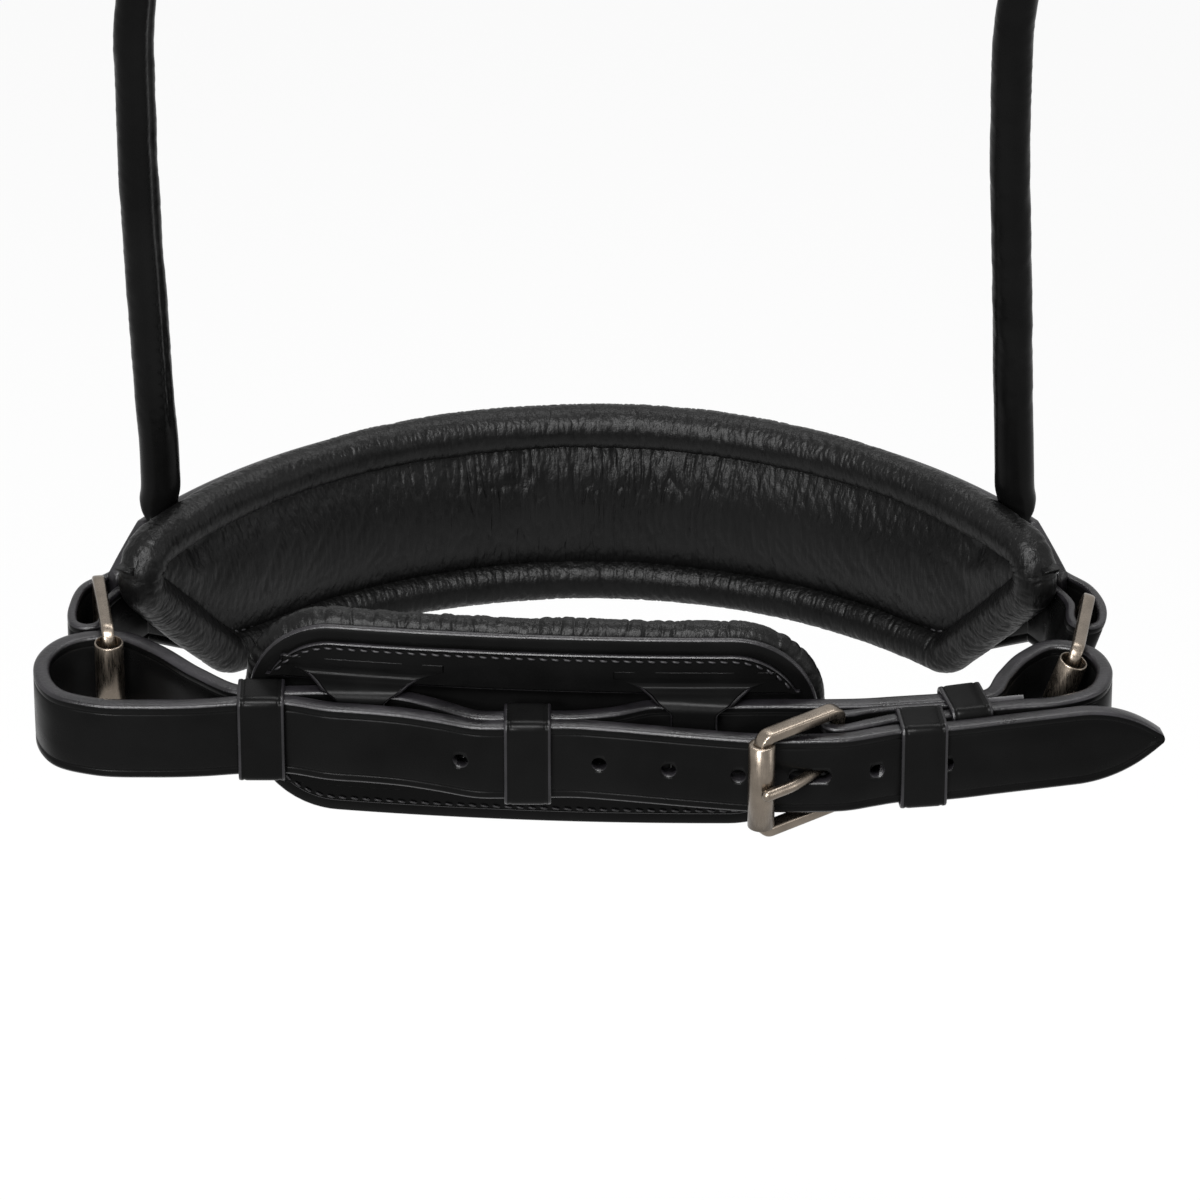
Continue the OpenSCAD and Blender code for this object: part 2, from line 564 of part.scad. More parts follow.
// tongue: an eye round the bar, then a bent shank with a round end
module tongue(bar, bend, tip, w, h, eye_r, hole_r) difference() {
    union() {
        translate(bar) cylinder(r = eye_r, h = h, center = true);
        shank(bar, bend, w, h);
        shank(bend, tip, w, h);
        for (p = [bend, tip]) translate(p) cylinder(r = w / 2 + 0.03, h = h, center = true);
    }
    translate(bar) cylinder(r = hole_r, h = h + 1, center = true);
}
module shank(a, b, w, h) translate(a) rotate([0, 0, atan2(b.y - a.y, b.x - a.x)])
    translate([0, -w / 2, -h / 2]) cube([norm(b - a), w, h]);
module crank_tongue() color(steel) at_noseband()
    tongue(chape_bar, tongue_bend, tongue_tip, tongue_d, tongue_ring_w,
        bar_r + running_gap + 1, bar_r + running_gap);

// ---- chin pad ----
module at_chin() at_noseband() translate([chin_at.x, chin_at.y, 0]) rotate([0, 0, chin_turn]) children();
// layer of the pad between two depths behind its front face
module chin_layer(d0, d1, inset) intersection() {
    translate([0, chin_arc_r - chin_sag, 0]) rotate([0, 0, -96]) rotate_extrude(angle = 12, $fn = 360)
        translate([chin_arc_r - d1, -chin_h / 2]) square([d1 - d0, chin_h]);
    rotate([90, 0, 0]) linear_extrude(60, center = true) chin_outline(inset);
}
module chin_outline(inset) {
    r = chin_corner - inset;
    hx = chin_l / 2 - inset;
    hz = chin_h / 2 - inset;
    square([2 * hx, 2 * (hz - r)], center = true);
    square([2 * (hx - r), 2 * hz], center = true);
    for (sx = [-1, 1], sz = [-1, 1]) translate([sx * (hx - r), sz * (hz - r)]) circle(r);
}
function chin_rows() = let (
    inset = chin_roll_d / 2,
    r = chin_corner - inset,
    cx = chin_l / 2 - chin_corner,
    cz = chin_h / 2 - chin_corner)
    concat(
        [for (a = [0 : 15 : 90]) [cx + r * cos(a), cz + r * sin(a)]],
        [for (k = [0.6, 0.2, -0.2, -0.6]) [k * cx, cz + r]],
        [for (a = [90 : 15 : 180]) [-cx + r * cos(a), cz + r * sin(a)]],
        [for (a = [180 : 15 : 270]) [-cx + r * cos(a), -cz + r * sin(a)]],
        [for (k = [-0.6, -0.2, 0.2, 0.6]) [k * cx, -cz - r]],
        [for (a = [270 : 15 : 360]) [cx + r * cos(a), -cz + r * sin(a)]]);
function chin_path(depth) = [for (q = chin_rows()) [[q.x, chin_front(q.x) + depth, q.y], [0, 1, 0]]];

chin_roll_r = chin_roll_d / 2;
chin_roll_depth = backing_t + 0.3 + chin_roll_r;
chin_skin_t = 0.8;
module chin_backing() color(leather) at_chin() chin_layer(0, backing_t, 1.5);
module chin_foam() color(foam) at_chin()
    chin_layer(backing_t + 0.3, chin_roll_depth + 1.6, chin_roll_d + 0.4);
module chin_lining() color(soft_leather) at_chin()
    chin_layer(chin_roll_depth + 1.8, chin_roll_depth + 1.8 + chin_skin_t, chin_roll_d + 0.4);
module chin_edge_roll() color(soft_leather) at_chin() difference() {
    closed_tube(chin_path(chin_roll_depth), chin_roll_r);
    closed_tube(chin_path(chin_roll_depth), chin_roll_r - chin_skin_t);
}
module chin_edge_cord() color(cord) at_chin()
    closed_tube(chin_path(chin_roll_depth), chin_roll_r - chin_skin_t - 0.2);

// overlay: a band along the top and one along the bottom, joined by two bridges over the strap
bridge_w = 11;
bridge_x = [-39.7, 38.3];
band_z0 = strap_w / 2 + 1.5;
module chin_overlay() color(leather) at_chin() {
    difference() {
        chin_layer(-overlay_gap - overlay_t, -overlay_gap, 7);
        cube([chin_l, 60, 2 * band_z0], center = true);
    }
    for (x = bridge_x) translate([x - bridge_w / 2, chin_front(abs(x) - bridge_w / 2), 0]) rotate([90, 0, 90])
        linear_extrude(bridge_w) difference() {
            translate([-overlay_gap - bridge_clear - overlay_t, -band_z0 - overlay_t])
                square([bridge_clear + overlay_t, 2 * (band_z0 + overlay_t)]);
            translate([-overlay_gap - bridge_clear, -band_z0 + 0.6])
                square([bridge_clear + 1, 2 * (band_z0 - 0.6)]);
        }
}

// ---- cheeks ----
cheek_bore_r = cheek_r - 2.1;
module cheek_roll(s) color(leather) translate([s * cheek_x, 0, -rise]) difference() {
    union() {
        cylinder(r = cheek_r, h = cheek_roll_l);
        sphere(cheek_r);
    }
    cylinder(r = cheek_bore_r, h = cheek_roll_l - 6);
}
module cheek_cord(s) color(cord) translate([s * cheek_x, 0, -rise + 0.1])
    cylinder(r = cheek_bore_r - 0.1, h = cheek_roll_l - 6.2);
module left_cheek_roll() cheek_roll(-1);
module right_cheek_roll() cheek_roll(1);
module left_cheek_cord() cheek_cord(-1);
module right_cheek_cord() cheek_cord(1);

// ---- crown strap, chape and buckle: drawn in X and Z, then given their width along Y ----
module across(w) rotate([90, 0, 0]) translate([0, 0, -w / 2]) linear_extrude(w) children();
module crown_bar_at(p, r, l) translate([p.x, 0, p.y]) rotate([90, 0, 0]) cylinder(r = r, h = l, center = true);
module crown_hole(x, z) translate([x, 0, z]) rotate([0, 90, 0]) cylinder(d = 3.2, h = 5, center = true, $fn = 32);

module crown_strap() color(leather) difference() {
    union() {
        across(crown_w) strip(crown_line);
        translate([crown_low_x - crown_t / 2, 0, crown_tip_z + 9.5]) rotate([0, 90, 0])
            linear_extrude(crown_t) pointed(13, crown_w, 12);
    }
    for (k = [1 : 3]) crown_hole(crown_low_x, crown_hole_z - k * crown_hole_pitch);
    crown_hole(-cheek_x, crown_hole_z + crown_hole_pitch);
    for (dz = [-3.4 : 1.7 : 5.1])
        translate([-cheek_x - 2.6 - 0.1 * dz, 0, crown_hole_z + dz]) rotate([0, 90, 0])
            cylinder(d = 3.2, h = 9, center = true, $fn = 32);
}
module cheek_chape() color(leather) difference() {
    across(crown_w) strip(chape_line);
    translate([crown_bar.x - 6, -2, crown_bar.y - 5]) cube([12, 4, 12]);
}
module crown_buckle_frame() color(steel) {
    crown_bar_at(crown_bar, crown_bar_r, 2 * crown_arm_y);
    crown_bar_at(crown_top_bar, crown_bar_r, 2 * crown_arm_y);
    for (s = [-1, 1]) translate([crown_bar.x, s * crown_arm_y - 1.3, crown_bar.y])
        rotate([0, atan2(crown_top_bar.x - crown_bar.x, crown_buckle_l), 0])
            translate([-crown_bar_r, 0, -crown_bar_r]) cube([2 * crown_bar_r, 2.6, crown_buckle_l + 2 * crown_bar_r]);
}
crown_tongue_bend = [crown_top_bar.x - 2.4, crown_bar.y + 12.5];
crown_tongue_tip = [crown_top_bar.x - crown_bar_r - crown_tongue_r - 0.1, crown_top_bar.y + 1.2];
module crown_tongue() color(steel) rotate([90, 0, 0])
    tongue(crown_bar, crown_tongue_bend, crown_tongue_tip, 2 * crown_tongue_r, crown_tongue_w,
        crown_bar_r + running_gap + 0.9, crown_bar_r + running_gap);
// loop round the crown strap and the chape, between two heights
module crown_loop(z0, z1, x_in) {
    g = 0.3;
    x_out = crown_low_x - crown_t / 2;
    translate([0, 0, z0]) linear_extrude(z1 - z0) difference() {
        translate([x_out - g - keeper_t, -crown_w / 2 - g - keeper_t])
            square([x_in - x_out + 2 * g + 2 * keeper_t, crown_w + 2 * g + 2 * keeper_t]);
        translate([x_out - g, -crown_w / 2 - g]) square([x_in - x_out + 2 * g, crown_w + 2 * g]);
    }
}
module crown_keeper_fixed() color(leather) crown_loop(-170, -162, -cheek_x + 2.7);
module crown_keeper_sliding() color(leather) crown_loop(-193, -185, -cheek_x + 2.7);

nose_strap();
nose_web();
nose_foam();
nose_lining();
nose_edge_roll();
nose_edge_cord();
left_ring_tab();
right_ring_tab();
left_cheek_tab();
right_cheek_tab();
crank_strap();
left_keeper();
right_keeper();
buckle_keeper();
middle_keeper();
left_square();
left_tube();
right_square();
right_tube();
crank_buckle_frame();
crank_roller();
crank_tongue();
chin_backing();
chin_overlay();
chin_foam();
chin_lining();
chin_edge_roll();
chin_edge_cord();
left_cheek_roll();
right_cheek_roll();
left_cheek_cord();
right_cheek_cord();
crown_strap();
cheek_chape();
crown_buckle_frame();
crown_tongue();
crown_keeper_fixed();
crown_keeper_sliding();
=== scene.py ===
"""Looks of a padded crank noseband on a rolled-cheek sliphead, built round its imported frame."""

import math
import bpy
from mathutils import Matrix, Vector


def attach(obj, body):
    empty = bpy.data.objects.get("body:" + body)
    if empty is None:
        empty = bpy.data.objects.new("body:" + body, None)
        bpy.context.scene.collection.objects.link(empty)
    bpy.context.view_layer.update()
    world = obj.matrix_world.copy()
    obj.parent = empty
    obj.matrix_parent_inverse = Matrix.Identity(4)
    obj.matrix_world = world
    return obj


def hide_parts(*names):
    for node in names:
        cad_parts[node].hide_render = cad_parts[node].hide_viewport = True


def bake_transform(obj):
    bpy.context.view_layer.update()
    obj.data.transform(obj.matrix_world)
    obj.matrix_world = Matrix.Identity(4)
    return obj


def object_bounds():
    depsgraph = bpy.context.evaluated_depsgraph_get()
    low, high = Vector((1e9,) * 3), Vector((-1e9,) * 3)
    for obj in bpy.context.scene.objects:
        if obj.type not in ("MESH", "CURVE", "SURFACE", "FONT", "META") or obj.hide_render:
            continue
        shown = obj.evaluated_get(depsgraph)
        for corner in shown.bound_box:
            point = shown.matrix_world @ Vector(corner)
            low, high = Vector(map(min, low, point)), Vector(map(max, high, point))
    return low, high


bl_info = {
    "name": "Crank Noseband",
    "version": (1, 0, 0),
    "blender": (4, 0, 0),
    "location": "View3D > Sidebar > Noseband",
    "description": "Padded crank noseband with chin pad, square rings, roller buckle and rolled cheeks",
    "category": "Add Mesh",
}

import bmesh
import bpy
import numpy as np
from mathutils import Matrix, Vector

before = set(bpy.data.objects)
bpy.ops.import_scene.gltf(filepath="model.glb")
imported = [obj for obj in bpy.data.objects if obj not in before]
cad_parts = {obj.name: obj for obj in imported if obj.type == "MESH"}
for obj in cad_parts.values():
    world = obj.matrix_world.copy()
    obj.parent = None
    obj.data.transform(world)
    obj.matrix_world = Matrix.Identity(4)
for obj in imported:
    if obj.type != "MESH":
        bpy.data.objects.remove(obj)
CAD_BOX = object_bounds()

MM = 0.001
UP = np.array([0.0, 0, 1])
RECTANGLE = ((-1, -1), (1, -1), (1, 1), (-1, 1))

# ---- sizes of the made pieces, in millimetres ----
STRAP_W, STRAP_T, LEATHER_GAP, KEEPER_T, KEEPER_W = 20.0, 3.8, 0.4, 1.1, 11.0
HOLE_D, HOLE_PITCH, TONGUE_HOLE_X = 4.0, 16.2, 51.8
NOSE_R, ROLL_R, ROLL_Z, END_A, END_SLANT = 122.5, 5.5, 21.5, 56.0, 43.0
NOSE_CY = -7 - NOSE_R * math.cos(math.radians(END_A))
TAB_R0, TAB_T, OUTER_T, OUTER_H = 128.3, 2.0, 3.0, 47.0
OUTER_R0 = TAB_R0 + TAB_T + 0.3
CHEEK_R, CHEEK_RING_R, CHEEK_A, RISE, CHEEK_ROLL_L = 4.75, 130.5, 51.6, 406.0, 175.0
PANEL_CROWN, CHEEK_BOW, OUTER_TOP_DROP, OVERLAY_INSET = 4.7, 3.2, 2.7, 5.2
CHEEK_X = CHEEK_RING_R * math.sin(math.radians(CHEEK_A))
CHEEK_Y = NOSE_CY + CHEEK_RING_R * math.cos(math.radians(CHEEK_A))
HINGE_Z = ROLL_Z + math.sqrt((CHEEK_R + ROLL_R + 0.35) ** 2 - (CHEEK_RING_R - NOSE_R) ** 2)
NOSE_ORIGIN = (0.0, -CHEEK_Y, -RISE - HINGE_Z)
FOLD_T, FOLD_R, FOLD_Y = 2.2, 3.6, -24.6
LEFT_FOLD_X = -(NOSE_R * math.sin(math.radians(END_A)) + 17.4)
RIGHT_FOLD_X = NOSE_R * math.sin(math.radians(END_A)) + 14
SQUARE_L, ARM_Z, WIRE_R, TUBE_R, TUBE_WALL, TUBE_L = 26.5, 12.9, 1.5, 3.45, 0.5, 22.0
TUBE_DROP = TUBE_R - TUBE_WALL - WIRE_R - 0.3
RIGHT_LEAN = 18.0
LEFT_BACK, LEFT_DIR = np.array([LEFT_FOLD_X + 1.8, -10.5]), np.array([0.143, -0.99])
RIGHT_BACK, RIGHT_DIR = np.array([RIGHT_FOLD_X, -17.5]), np.array([-0.16, -0.987])
LEFT_FRONT = LEFT_BACK + SQUARE_L * LEFT_DIR
RIGHT_FRONT = RIGHT_BACK + SQUARE_L * RIGHT_DIR
CHAPE_BAR, BUCKLE_DIR, BUCKLE_L, BAR_R = np.array([58.4, -70.5]), np.array([-0.811, -0.585]), 22.2, 1.6
ROLLER_BAR = CHAPE_BAR + BUCKLE_L * BUCKLE_DIR
BUCKLE_ARM_Z, ROLLER_R, TONGUE_R, CHAPE_T = 12.8, 3.15, 1.4, 2.6
CHAPE_R = BAR_R + 0.3 + CHAPE_T / 2
CHIN_AT, CHIN_TURN, CHIN_SAG, CHIN_L, CHIN_H = np.array([-12.8, -55.6]), -3.8, 3.6, 137.0, 54.0
CHIN_ARC_R = CHIN_L * CHIN_L / (8 * CHIN_SAG)
CHIN_CORNER, CHIN_ROLL_R, BACKING_T, OVERLAY_T, OVERLAY_GAP = 22.0, 4.0, 1.8, 1.4, 0.2
BRIDGE_X, BRIDGE_W = (-39.7, 38.3), 11.0
BRIDGE_CLEAR = STRAP_T + LEATHER_GAP + 0.9
CROWN_W, CROWN_T, ROLL_TOP_Z = 16.0, 3.0, -RISE + CHEEK_ROLL_L
CROWN_BAR_R, CROWN_BUCKLE_L, CROWN_FOLD_T = 1.6, 18.0, 2.2
CROWN_BAR = np.array([-CHEEK_X, -146.0])
CROWN_FOLD_R = CROWN_BAR_R + 0.3 + CROWN_FOLD_T / 2
CROWN_TOP_BAR = np.array([-CHEEK_X - CROWN_T / 2 - 0.3 - CROWN_BAR_R, CROWN_BAR[1] + CROWN_BUCKLE_L])
CROWN_OUT_X = CROWN_BAR[0] - CROWN_FOLD_R - CROWN_FOLD_T / 2 - 0.3 - CROWN_T / 2
CHAPE_OUT_T, CHAPE_OUT_X = 2.4, -CHEEK_X - 1.4
CROWN_LOW_X = CHAPE_OUT_X - CHAPE_OUT_T / 2 - LEATHER_GAP - CROWN_T / 2
CROWN_ARM_Y, CROWN_TIP_Z, CROWN_TONGUE_R = CROWN_W / 2 + 2.6, -214.0, 1.1
CROWN_HOLE_Z, CROWN_HOLE_PITCH = -139.5, 20.0

# ---- stage ----
CAMERA_AIM_X, CAMERA_DROP, CAMERA_DISTANCE, CAMERA_LENS = 2.9, 31, 2.0, 249.0
FLOOR_DROP, FLOOR_REACH, FLOOR_GLOW, WORLD_LIGHT = 420, 9000.0, 0.88, 0.25


# ---- what a user would change ----
class BridleSizes(bpy.types.PropertyGroup):
    wrinkle_depth: bpy.props.FloatProperty(
        name="Wrinkle depth", description="Depth of the fine wrinkles in the soft lining",
        default=0.0003, min=0, max=0.001, unit="LENGTH")
    roll_wrinkle_depth: bpy.props.FloatProperty(
        name="Roll wrinkle depth", description="Depth of the cross wrinkles on the edge rolls",
        default=0.0003, min=0, max=0.001, unit="LENGTH")
    crease_inset: bpy.props.FloatProperty(
        name="Crease inset", description="Distance of the pressed line from the strap's edge",
        default=0.0023, min=0.001, max=0.004, unit="LENGTH")
    crease_depth: bpy.props.FloatProperty(
        name="Crease depth", description="Depth of the pressed line",
        default=0.00028, min=0, max=0.0006, unit="LENGTH")
    stitch_pitch: bpy.props.FloatProperty(
        name="Stitch pitch", description="Distance from one stitch to the next",
        default=0.0028, min=0.0015, max=0.006, unit="LENGTH")
    thread_d: bpy.props.FloatProperty(
        name="Thread diameter", description="Diameter of the sewing thread",
        default=0.0006, min=0.0003, max=0.0015, unit="LENGTH")


class BridleColours(bpy.types.PropertyGroup):
    leather: bpy.props.StringProperty(
        name="Bridle leather", description="Dyed face of the straps, sRGB hex", default="#060606")
    edge: bpy.props.StringProperty(
        name="Painted edge", description="Painted and burnished strap edges, sRGB hex", default="#0e0d0f")
    nappa: bpy.props.StringProperty(
        name="Nappa", description="Soft lining leather, sRGB hex", default="#060606")
    suede: bpy.props.StringProperty(
        name="Flesh side", description="Raw back of the leather, sRGB hex", default="#2a292b")
    steel: bpy.props.StringProperty(
        name="Steel", description="Satin stainless steel, sRGB hex", default="#766d63")
    thread: bpy.props.StringProperty(
        name="Thread", description="Waxed sewing thread, sRGB hex", default="#121113")
    floor: bpy.props.StringProperty(
        name="Floor", description="Plain studio floor, sRGB hex", default="#f5f5f5")


def sizes():
    return bpy.context.scene.bridle_sizes


def colours():
    return bpy.context.scene.bridle_colours


# ---- materials ----
def linear(text):
    """sRGB hex to linear RGBA."""
    parts = [int(text[i:i + 2], 16) / 255 for i in (1, 3, 5)]
    return tuple(c / 12.92 if c <= 0.04045 else ((c + 0.055) / 1.055) ** 2.4 for c in parts) + (1.0,)


def scaled(text, factor):
    return tuple(min(1.0, c * factor) for c in linear(text)[:3]) + (1.0,)


def add_node(tree, kind, links=None, **settings):
    """One node with its settings; links maps an input's name or number to an output socket or a value."""
    made = tree.nodes.new("ShaderNode" + kind)
    for key, value in settings.items():
        setattr(made, key, value)
    for key, value in (links or {}).items():
        if isinstance(value, bpy.types.NodeSocket):
            tree.links.new(value, made.inputs[key])
        else:
            made.inputs[key].default_value = value
    return made


def per_mm(size):
    """Scale of a pattern whose cells are this many millimetres across."""
    return 1 / (size * MM)


def ramp(tree, source, low, high, a, b):
    """Maps a source value from low..high to a..b."""
    links = {"Value": source, "From Min": low, "From Max": high, "To Min": a, "To Max": b}
    return add_node(tree, "MapRange", links).outputs[0]


def shades(tree, factor, base, dark, light):
    """From a darker to a lighter shade of the base colour."""
    links = {0: factor, 6: scaled(base, dark), 7: scaled(base, light)}
    return add_node(tree, "Mix", links, data_type="RGBA").outputs[2]


def finish(name):
    """Makes the named material once; the function under it fills the node tree."""
    def made_by(fill):
        def material():
            made = bpy.data.materials.get(name)
            if made is None:
                made = bpy.data.materials.new(name)
                made.use_nodes = True
                where = add_node(made.node_tree, "TexCoord").outputs["Object"]
                fill(made.node_tree, made.node_tree.nodes["Principled BSDF"], where)
            return made
        return material
    return made_by


def noise(tree, where, cell, detail, **inputs):
    """Noise whose cells are this many millimetres across."""
    links = {"Vector": where, "Scale": per_mm(cell), "Detail": detail, **inputs}
    return add_node(tree, "TexNoise", links).outputs["Fac"]


def bump(tree, height, strength, depth, below=None):
    """A bump of this depth in metres, over another if one is given."""
    links = {"Strength": strength, "Distance": depth, "Height": height}
    return add_node(tree, "Bump", links if below is None else {**links, "Normal": below}).outputs[0]


def set_sockets(tree, shader, **values):
    """Sets the shader's inputs, or links them where a value is another node's output."""
    for key, value in values.items():
        socket = shader.inputs[key.replace("_", " ")]
        if isinstance(value, bpy.types.NodeSocket):
            tree.links.new(value, socket)
        else:
            socket.default_value = value


@finish("Waxed bridle leather")
def bridle_leather(tree, shader, where):
    """Bridle leather: dyed through, waxed and rolled smooth, so it is almost black with a broad soft shine and
    faint pores."""
    cloudy = noise(tree, where, 22, 3.0)
    smear = noise(tree, where, 5, 5.0)
    # pores are near 0.3 mm and drawn at 0.6 mm so that they show
    pores = add_node(tree, "TexVoronoi", {"Vector": where, "Scale": per_mm(0.6), "Randomness": 1.0},
                     feature="SMOOTH_F1").outputs["Distance"]
    base = colours().leather
    colour = shades(tree, ramp(tree, cloudy, 0.35, 0.65, 0, 1), base, 0.75, 1.35)
    rough = ramp(tree, smear, 0.3, 0.7, 0.25, 0.34)
    fine = bump(tree, pores, 0.12, 0.00006)
    slow = bump(tree, smear, 0.15, 0.0004, fine)
    set_sockets(tree, shader, Base_Color=colour, Roughness=rough, Normal=slow,
                Metallic=0.0, IOR=1.5, Specular_IOR_Level=0.05)


@finish("Painted leather edge")
def painted_edge(tree, shader, where):
    """Painted edge: several coats of edge paint over cut fibres, glossy but slightly lumpy, so it glints in
    specks."""
    lumps = noise(tree, where, 0.9, 4.0, Roughness=0.65)
    wear = noise(tree, where, 9, 3.0)
    base = colours().edge
    colour = shades(tree, ramp(tree, wear, 0.4, 0.7, 0, 1), base, 0.8, 2.2)
    lifted = bump(tree, lumps, 0.55, 0.00022)
    set_sockets(tree, shader, Base_Color=colour, Roughness=ramp(tree, wear, 0.3, 0.7, 0.26, 0.42), Normal=lifted,
                Metallic=0.0, IOR=1.5, Specular_IOR_Level=0.3)


@finish("Soft nappa leather")
def nappa_leather(tree, shader, where):
    """Nappa: soft full-grain lamb lining, with a fine pebble grain and a low sheen."""
    grain = add_node(tree, "TexVoronoi", {"Vector": where, "Scale": per_mm(0.75), "Randomness": 1.0},
                     feature="DISTANCE_TO_EDGE").outputs["Distance"]
    # the fine wrinkles run up and down, across the length of the piece
    upright = add_node(tree, "Mapping", {"Vector": where, "Scale": (1.0, 1.0, 0.2)}).outputs[0]
    fine = noise(tree, upright, 1.1, 2.0, Roughness=0.5)
    cloudy = noise(tree, where, 18, 3.0)
    base = colours().nappa
    colour = shades(tree, ramp(tree, cloudy, 0.35, 0.65, 0, 1), base, 0.8, 1.25)
    first = bump(tree, ramp(tree, grain, 0, 0.2, 0, 1), 0.15, 0.0001)
    second = bump(tree, fine, 0.5, 0.0006, first)
    set_sockets(tree, shader, Base_Color=colour, Roughness=ramp(tree, fine, 0.3, 0.7, 0.35, 0.45), Normal=second,
                Metallic=0.0, IOR=1.5, Specular_IOR_Level=0.12)


@finish("Leather flesh side")
def flesh_side(tree, shader, where):
    """Flesh side: the raw fibrous back of the strap leather, dyed grey-black and dull."""
    fibres = noise(tree, where, 0.8, 8.0, Roughness=0.7)
    base = colours().suede
    colour = shades(tree, fibres, base, 0.5, 1.4)
    lifted = bump(tree, fibres, 0.7, 0.0003)
    set_sockets(tree, shader, Base_Color=colour, Normal=lifted,
                Metallic=0.0, Roughness=0.92, IOR=1.5, Specular_IOR_Level=0.2, Sheen_Weight=0.25, Sheen_Roughness=0.6)


@finish("Satin stainless steel")
def satin_steel(tree, shader, where):
    """Stainless steel: cast, tumbled and brushed to a satin, so it is warm grey with soft streaked highlights
    and small dings."""
    # brush lines are near 0.05 mm and drawn at 0.35 mm so that they show
    stretched = add_node(tree, "Mapping", {"Vector": where, "Scale": (1.0, 1.0, 0.12)}).outputs[0]
    brushed = noise(tree, stretched, 0.35, 4.0)
    cloudy = noise(tree, where, 4, 4.0)
    base = colours().steel
    colour = shades(tree, ramp(tree, cloudy, 0.35, 0.7, 0, 1), base, 0.82, 1.1)
    lifted = bump(tree, brushed, 0.12, 0.00005)
    set_sockets(tree, shader, Base_Color=colour, Roughness=ramp(tree, brushed, 0.3, 0.7, 0.22, 0.38), Normal=lifted,
                Metallic=1.0)


@finish("Waxed sewing thread")
def waxed_thread(tree, shader, where):
    """Thread: waxed polyester, twisted, black with a dull gleam on each stitch."""
    turns = {"Vector": where, "Scale": per_mm(0.5) / 6.283, "Distortion": 1.0}
    twist = add_node(tree, "TexWave", turns).outputs["Fac"]
    base = colours().thread
    colour = shades(tree, twist, base, 0.7, 1.5)
    set_sockets(tree, shader, Base_Color=colour,
                Metallic=0.0, Roughness=0.5, IOR=1.5, Specular_IOR_Level=0.3)


# ---- numbers and curves ----
def sin(a):
    return np.sin(np.radians(a))


def cos(a):
    return np.cos(np.radians(a))


def value_noise(x, y, seed):
    """Smooth noise from -1 to 1 over two coordinates whose lattice step is 1."""
    table = np.random.default_rng(seed).uniform(-1, 1, (128, 128))
    x, y = np.broadcast_arrays(np.asarray(x, float), np.asarray(y, float))
    xi, yi = np.floor(x).astype(int), np.floor(y).astype(int)
    fx, fy = x - xi, y - yi
    fx, fy = fx * fx * (3 - 2 * fx), fy * fy * (3 - 2 * fy)
    pick = lambda a, b: table[(xi + a) % 128, (yi + b) % 128]
    return (pick(0, 0) * (1 - fx) + pick(1, 0) * fx) * (1 - fy) + (pick(0, 1) * (1 - fx) + pick(1, 1) * fx) * fy


def wrinkles(x, y, seed):
    """Folds from 0, in a fine valley, to 1, on a broad crest; they run along y."""
    bent = x + 0.5 * value_noise(x * 0.35, y * 1.4, seed + 7)
    big = np.abs(value_noise(bent, y, seed))
    small = np.abs(value_noise(bent * 2.1, y * 1.7, seed + 3))
    return np.clip(1.6 * np.sqrt(big), 0, 1) * 0.7 + np.clip(1.6 * np.sqrt(small), 0, 1) * 0.3


def ease(x, low, high):
    t = np.clip((np.asarray(x, float) - low) / (high - low), 0, 1)
    return t * t * (3 - 2 * t)


def unit(v):
    v = np.asarray(v, float)
    return v / np.maximum(np.linalg.norm(v, axis=-1, keepdims=True), 1e-12)


def smooth(rows, steps):
    """Smooth line through all the rows, with this many steps from each to the next."""
    p = np.array(rows, float)
    last = len(p) - 1
    span = np.maximum(np.linalg.norm(np.diff(p[:, :2], axis=0), axis=1), 0.01)[:, None]
    slope = np.empty_like(p)
    slope[0] = (p[1] - p[0]) / span[0]
    slope[-1] = (p[-1] - p[-2]) / span[-1]
    before, after = span[:-1], span[1:]
    slope[1:-1] = ((p[1:-1] - p[:-2]) * after / before + (p[2:] - p[1:-1]) * before / after) / (before + after)
    t = (np.arange(steps) / steps)[None, :, None]
    a, b, sa, sb, l = p[:-1, None], p[1:, None], slope[:-1, None], slope[1:, None], span[:, None]
    body = ((2 * t**3 - 3 * t**2 + 1) * a + (t**3 - 2 * t**2 + t) * l * sa
            + (3 * t**2 - 2 * t**3) * b + (t**3 - t**2) * l * sb)
    return np.vstack([body.reshape(-1, p.shape[1]), p[last:]])


def tangents(points, closed=False):
    if closed:
        return unit(np.roll(points, -1, 0) - np.roll(points, 1, 0))
    return unit(np.gradient(points, axis=0))


def lengths(points, closed=False):
    """Distance along a line at each of its points, and its full length."""
    step = np.linalg.norm(np.diff(np.vstack([points, points[:1]]) if closed else points, axis=0), axis=1)
    total = np.concatenate([[0], np.cumsum(step)])
    return (total[:-1], total[-1]) if closed else (total, total[-1])


def respaced(points, step, closed=False):
    """The same line with points at an even distance near step."""
    at, full = lengths(points, closed)
    if closed:
        points, at = np.vstack([points, points[:1]]), np.append(at, full)
    n = max(4, int(round(full / step)))
    where = np.linspace(0, full, n + 1)
    if closed:
        where = where[:-1]
    return np.column_stack([np.interp(where, at, points[:, i]) for i in range(points.shape[1])])


def round_corners(corners, radius, steps=6):
    """Closed outline with each corner an arc."""
    corners = np.asarray(corners, float)
    n, out = len(corners), []
    for i in range(n):
        a, b, c = corners[i - 1], corners[i], corners[(i + 1) % n]
        d1, d2 = unit(a - b), unit(c - b)
        half = math.acos(float(np.clip(d1 @ d2, -1, 1))) / 2
        o = b + unit(d1 + d2) * radius / math.sin(half)
        p, q = b + d1 * radius / math.tan(half) - o, b + d2 * radius / math.tan(half) - o
        for k in range(steps + 1):
            t = k / steps
            out.append(o + radius * unit(p * math.sin((1 - t) * (math.pi / 2 - half) + 1e-9)
                                         + q * math.sin(t * (math.pi / 2 - half) + 1e-9)))
    return np.array(out)


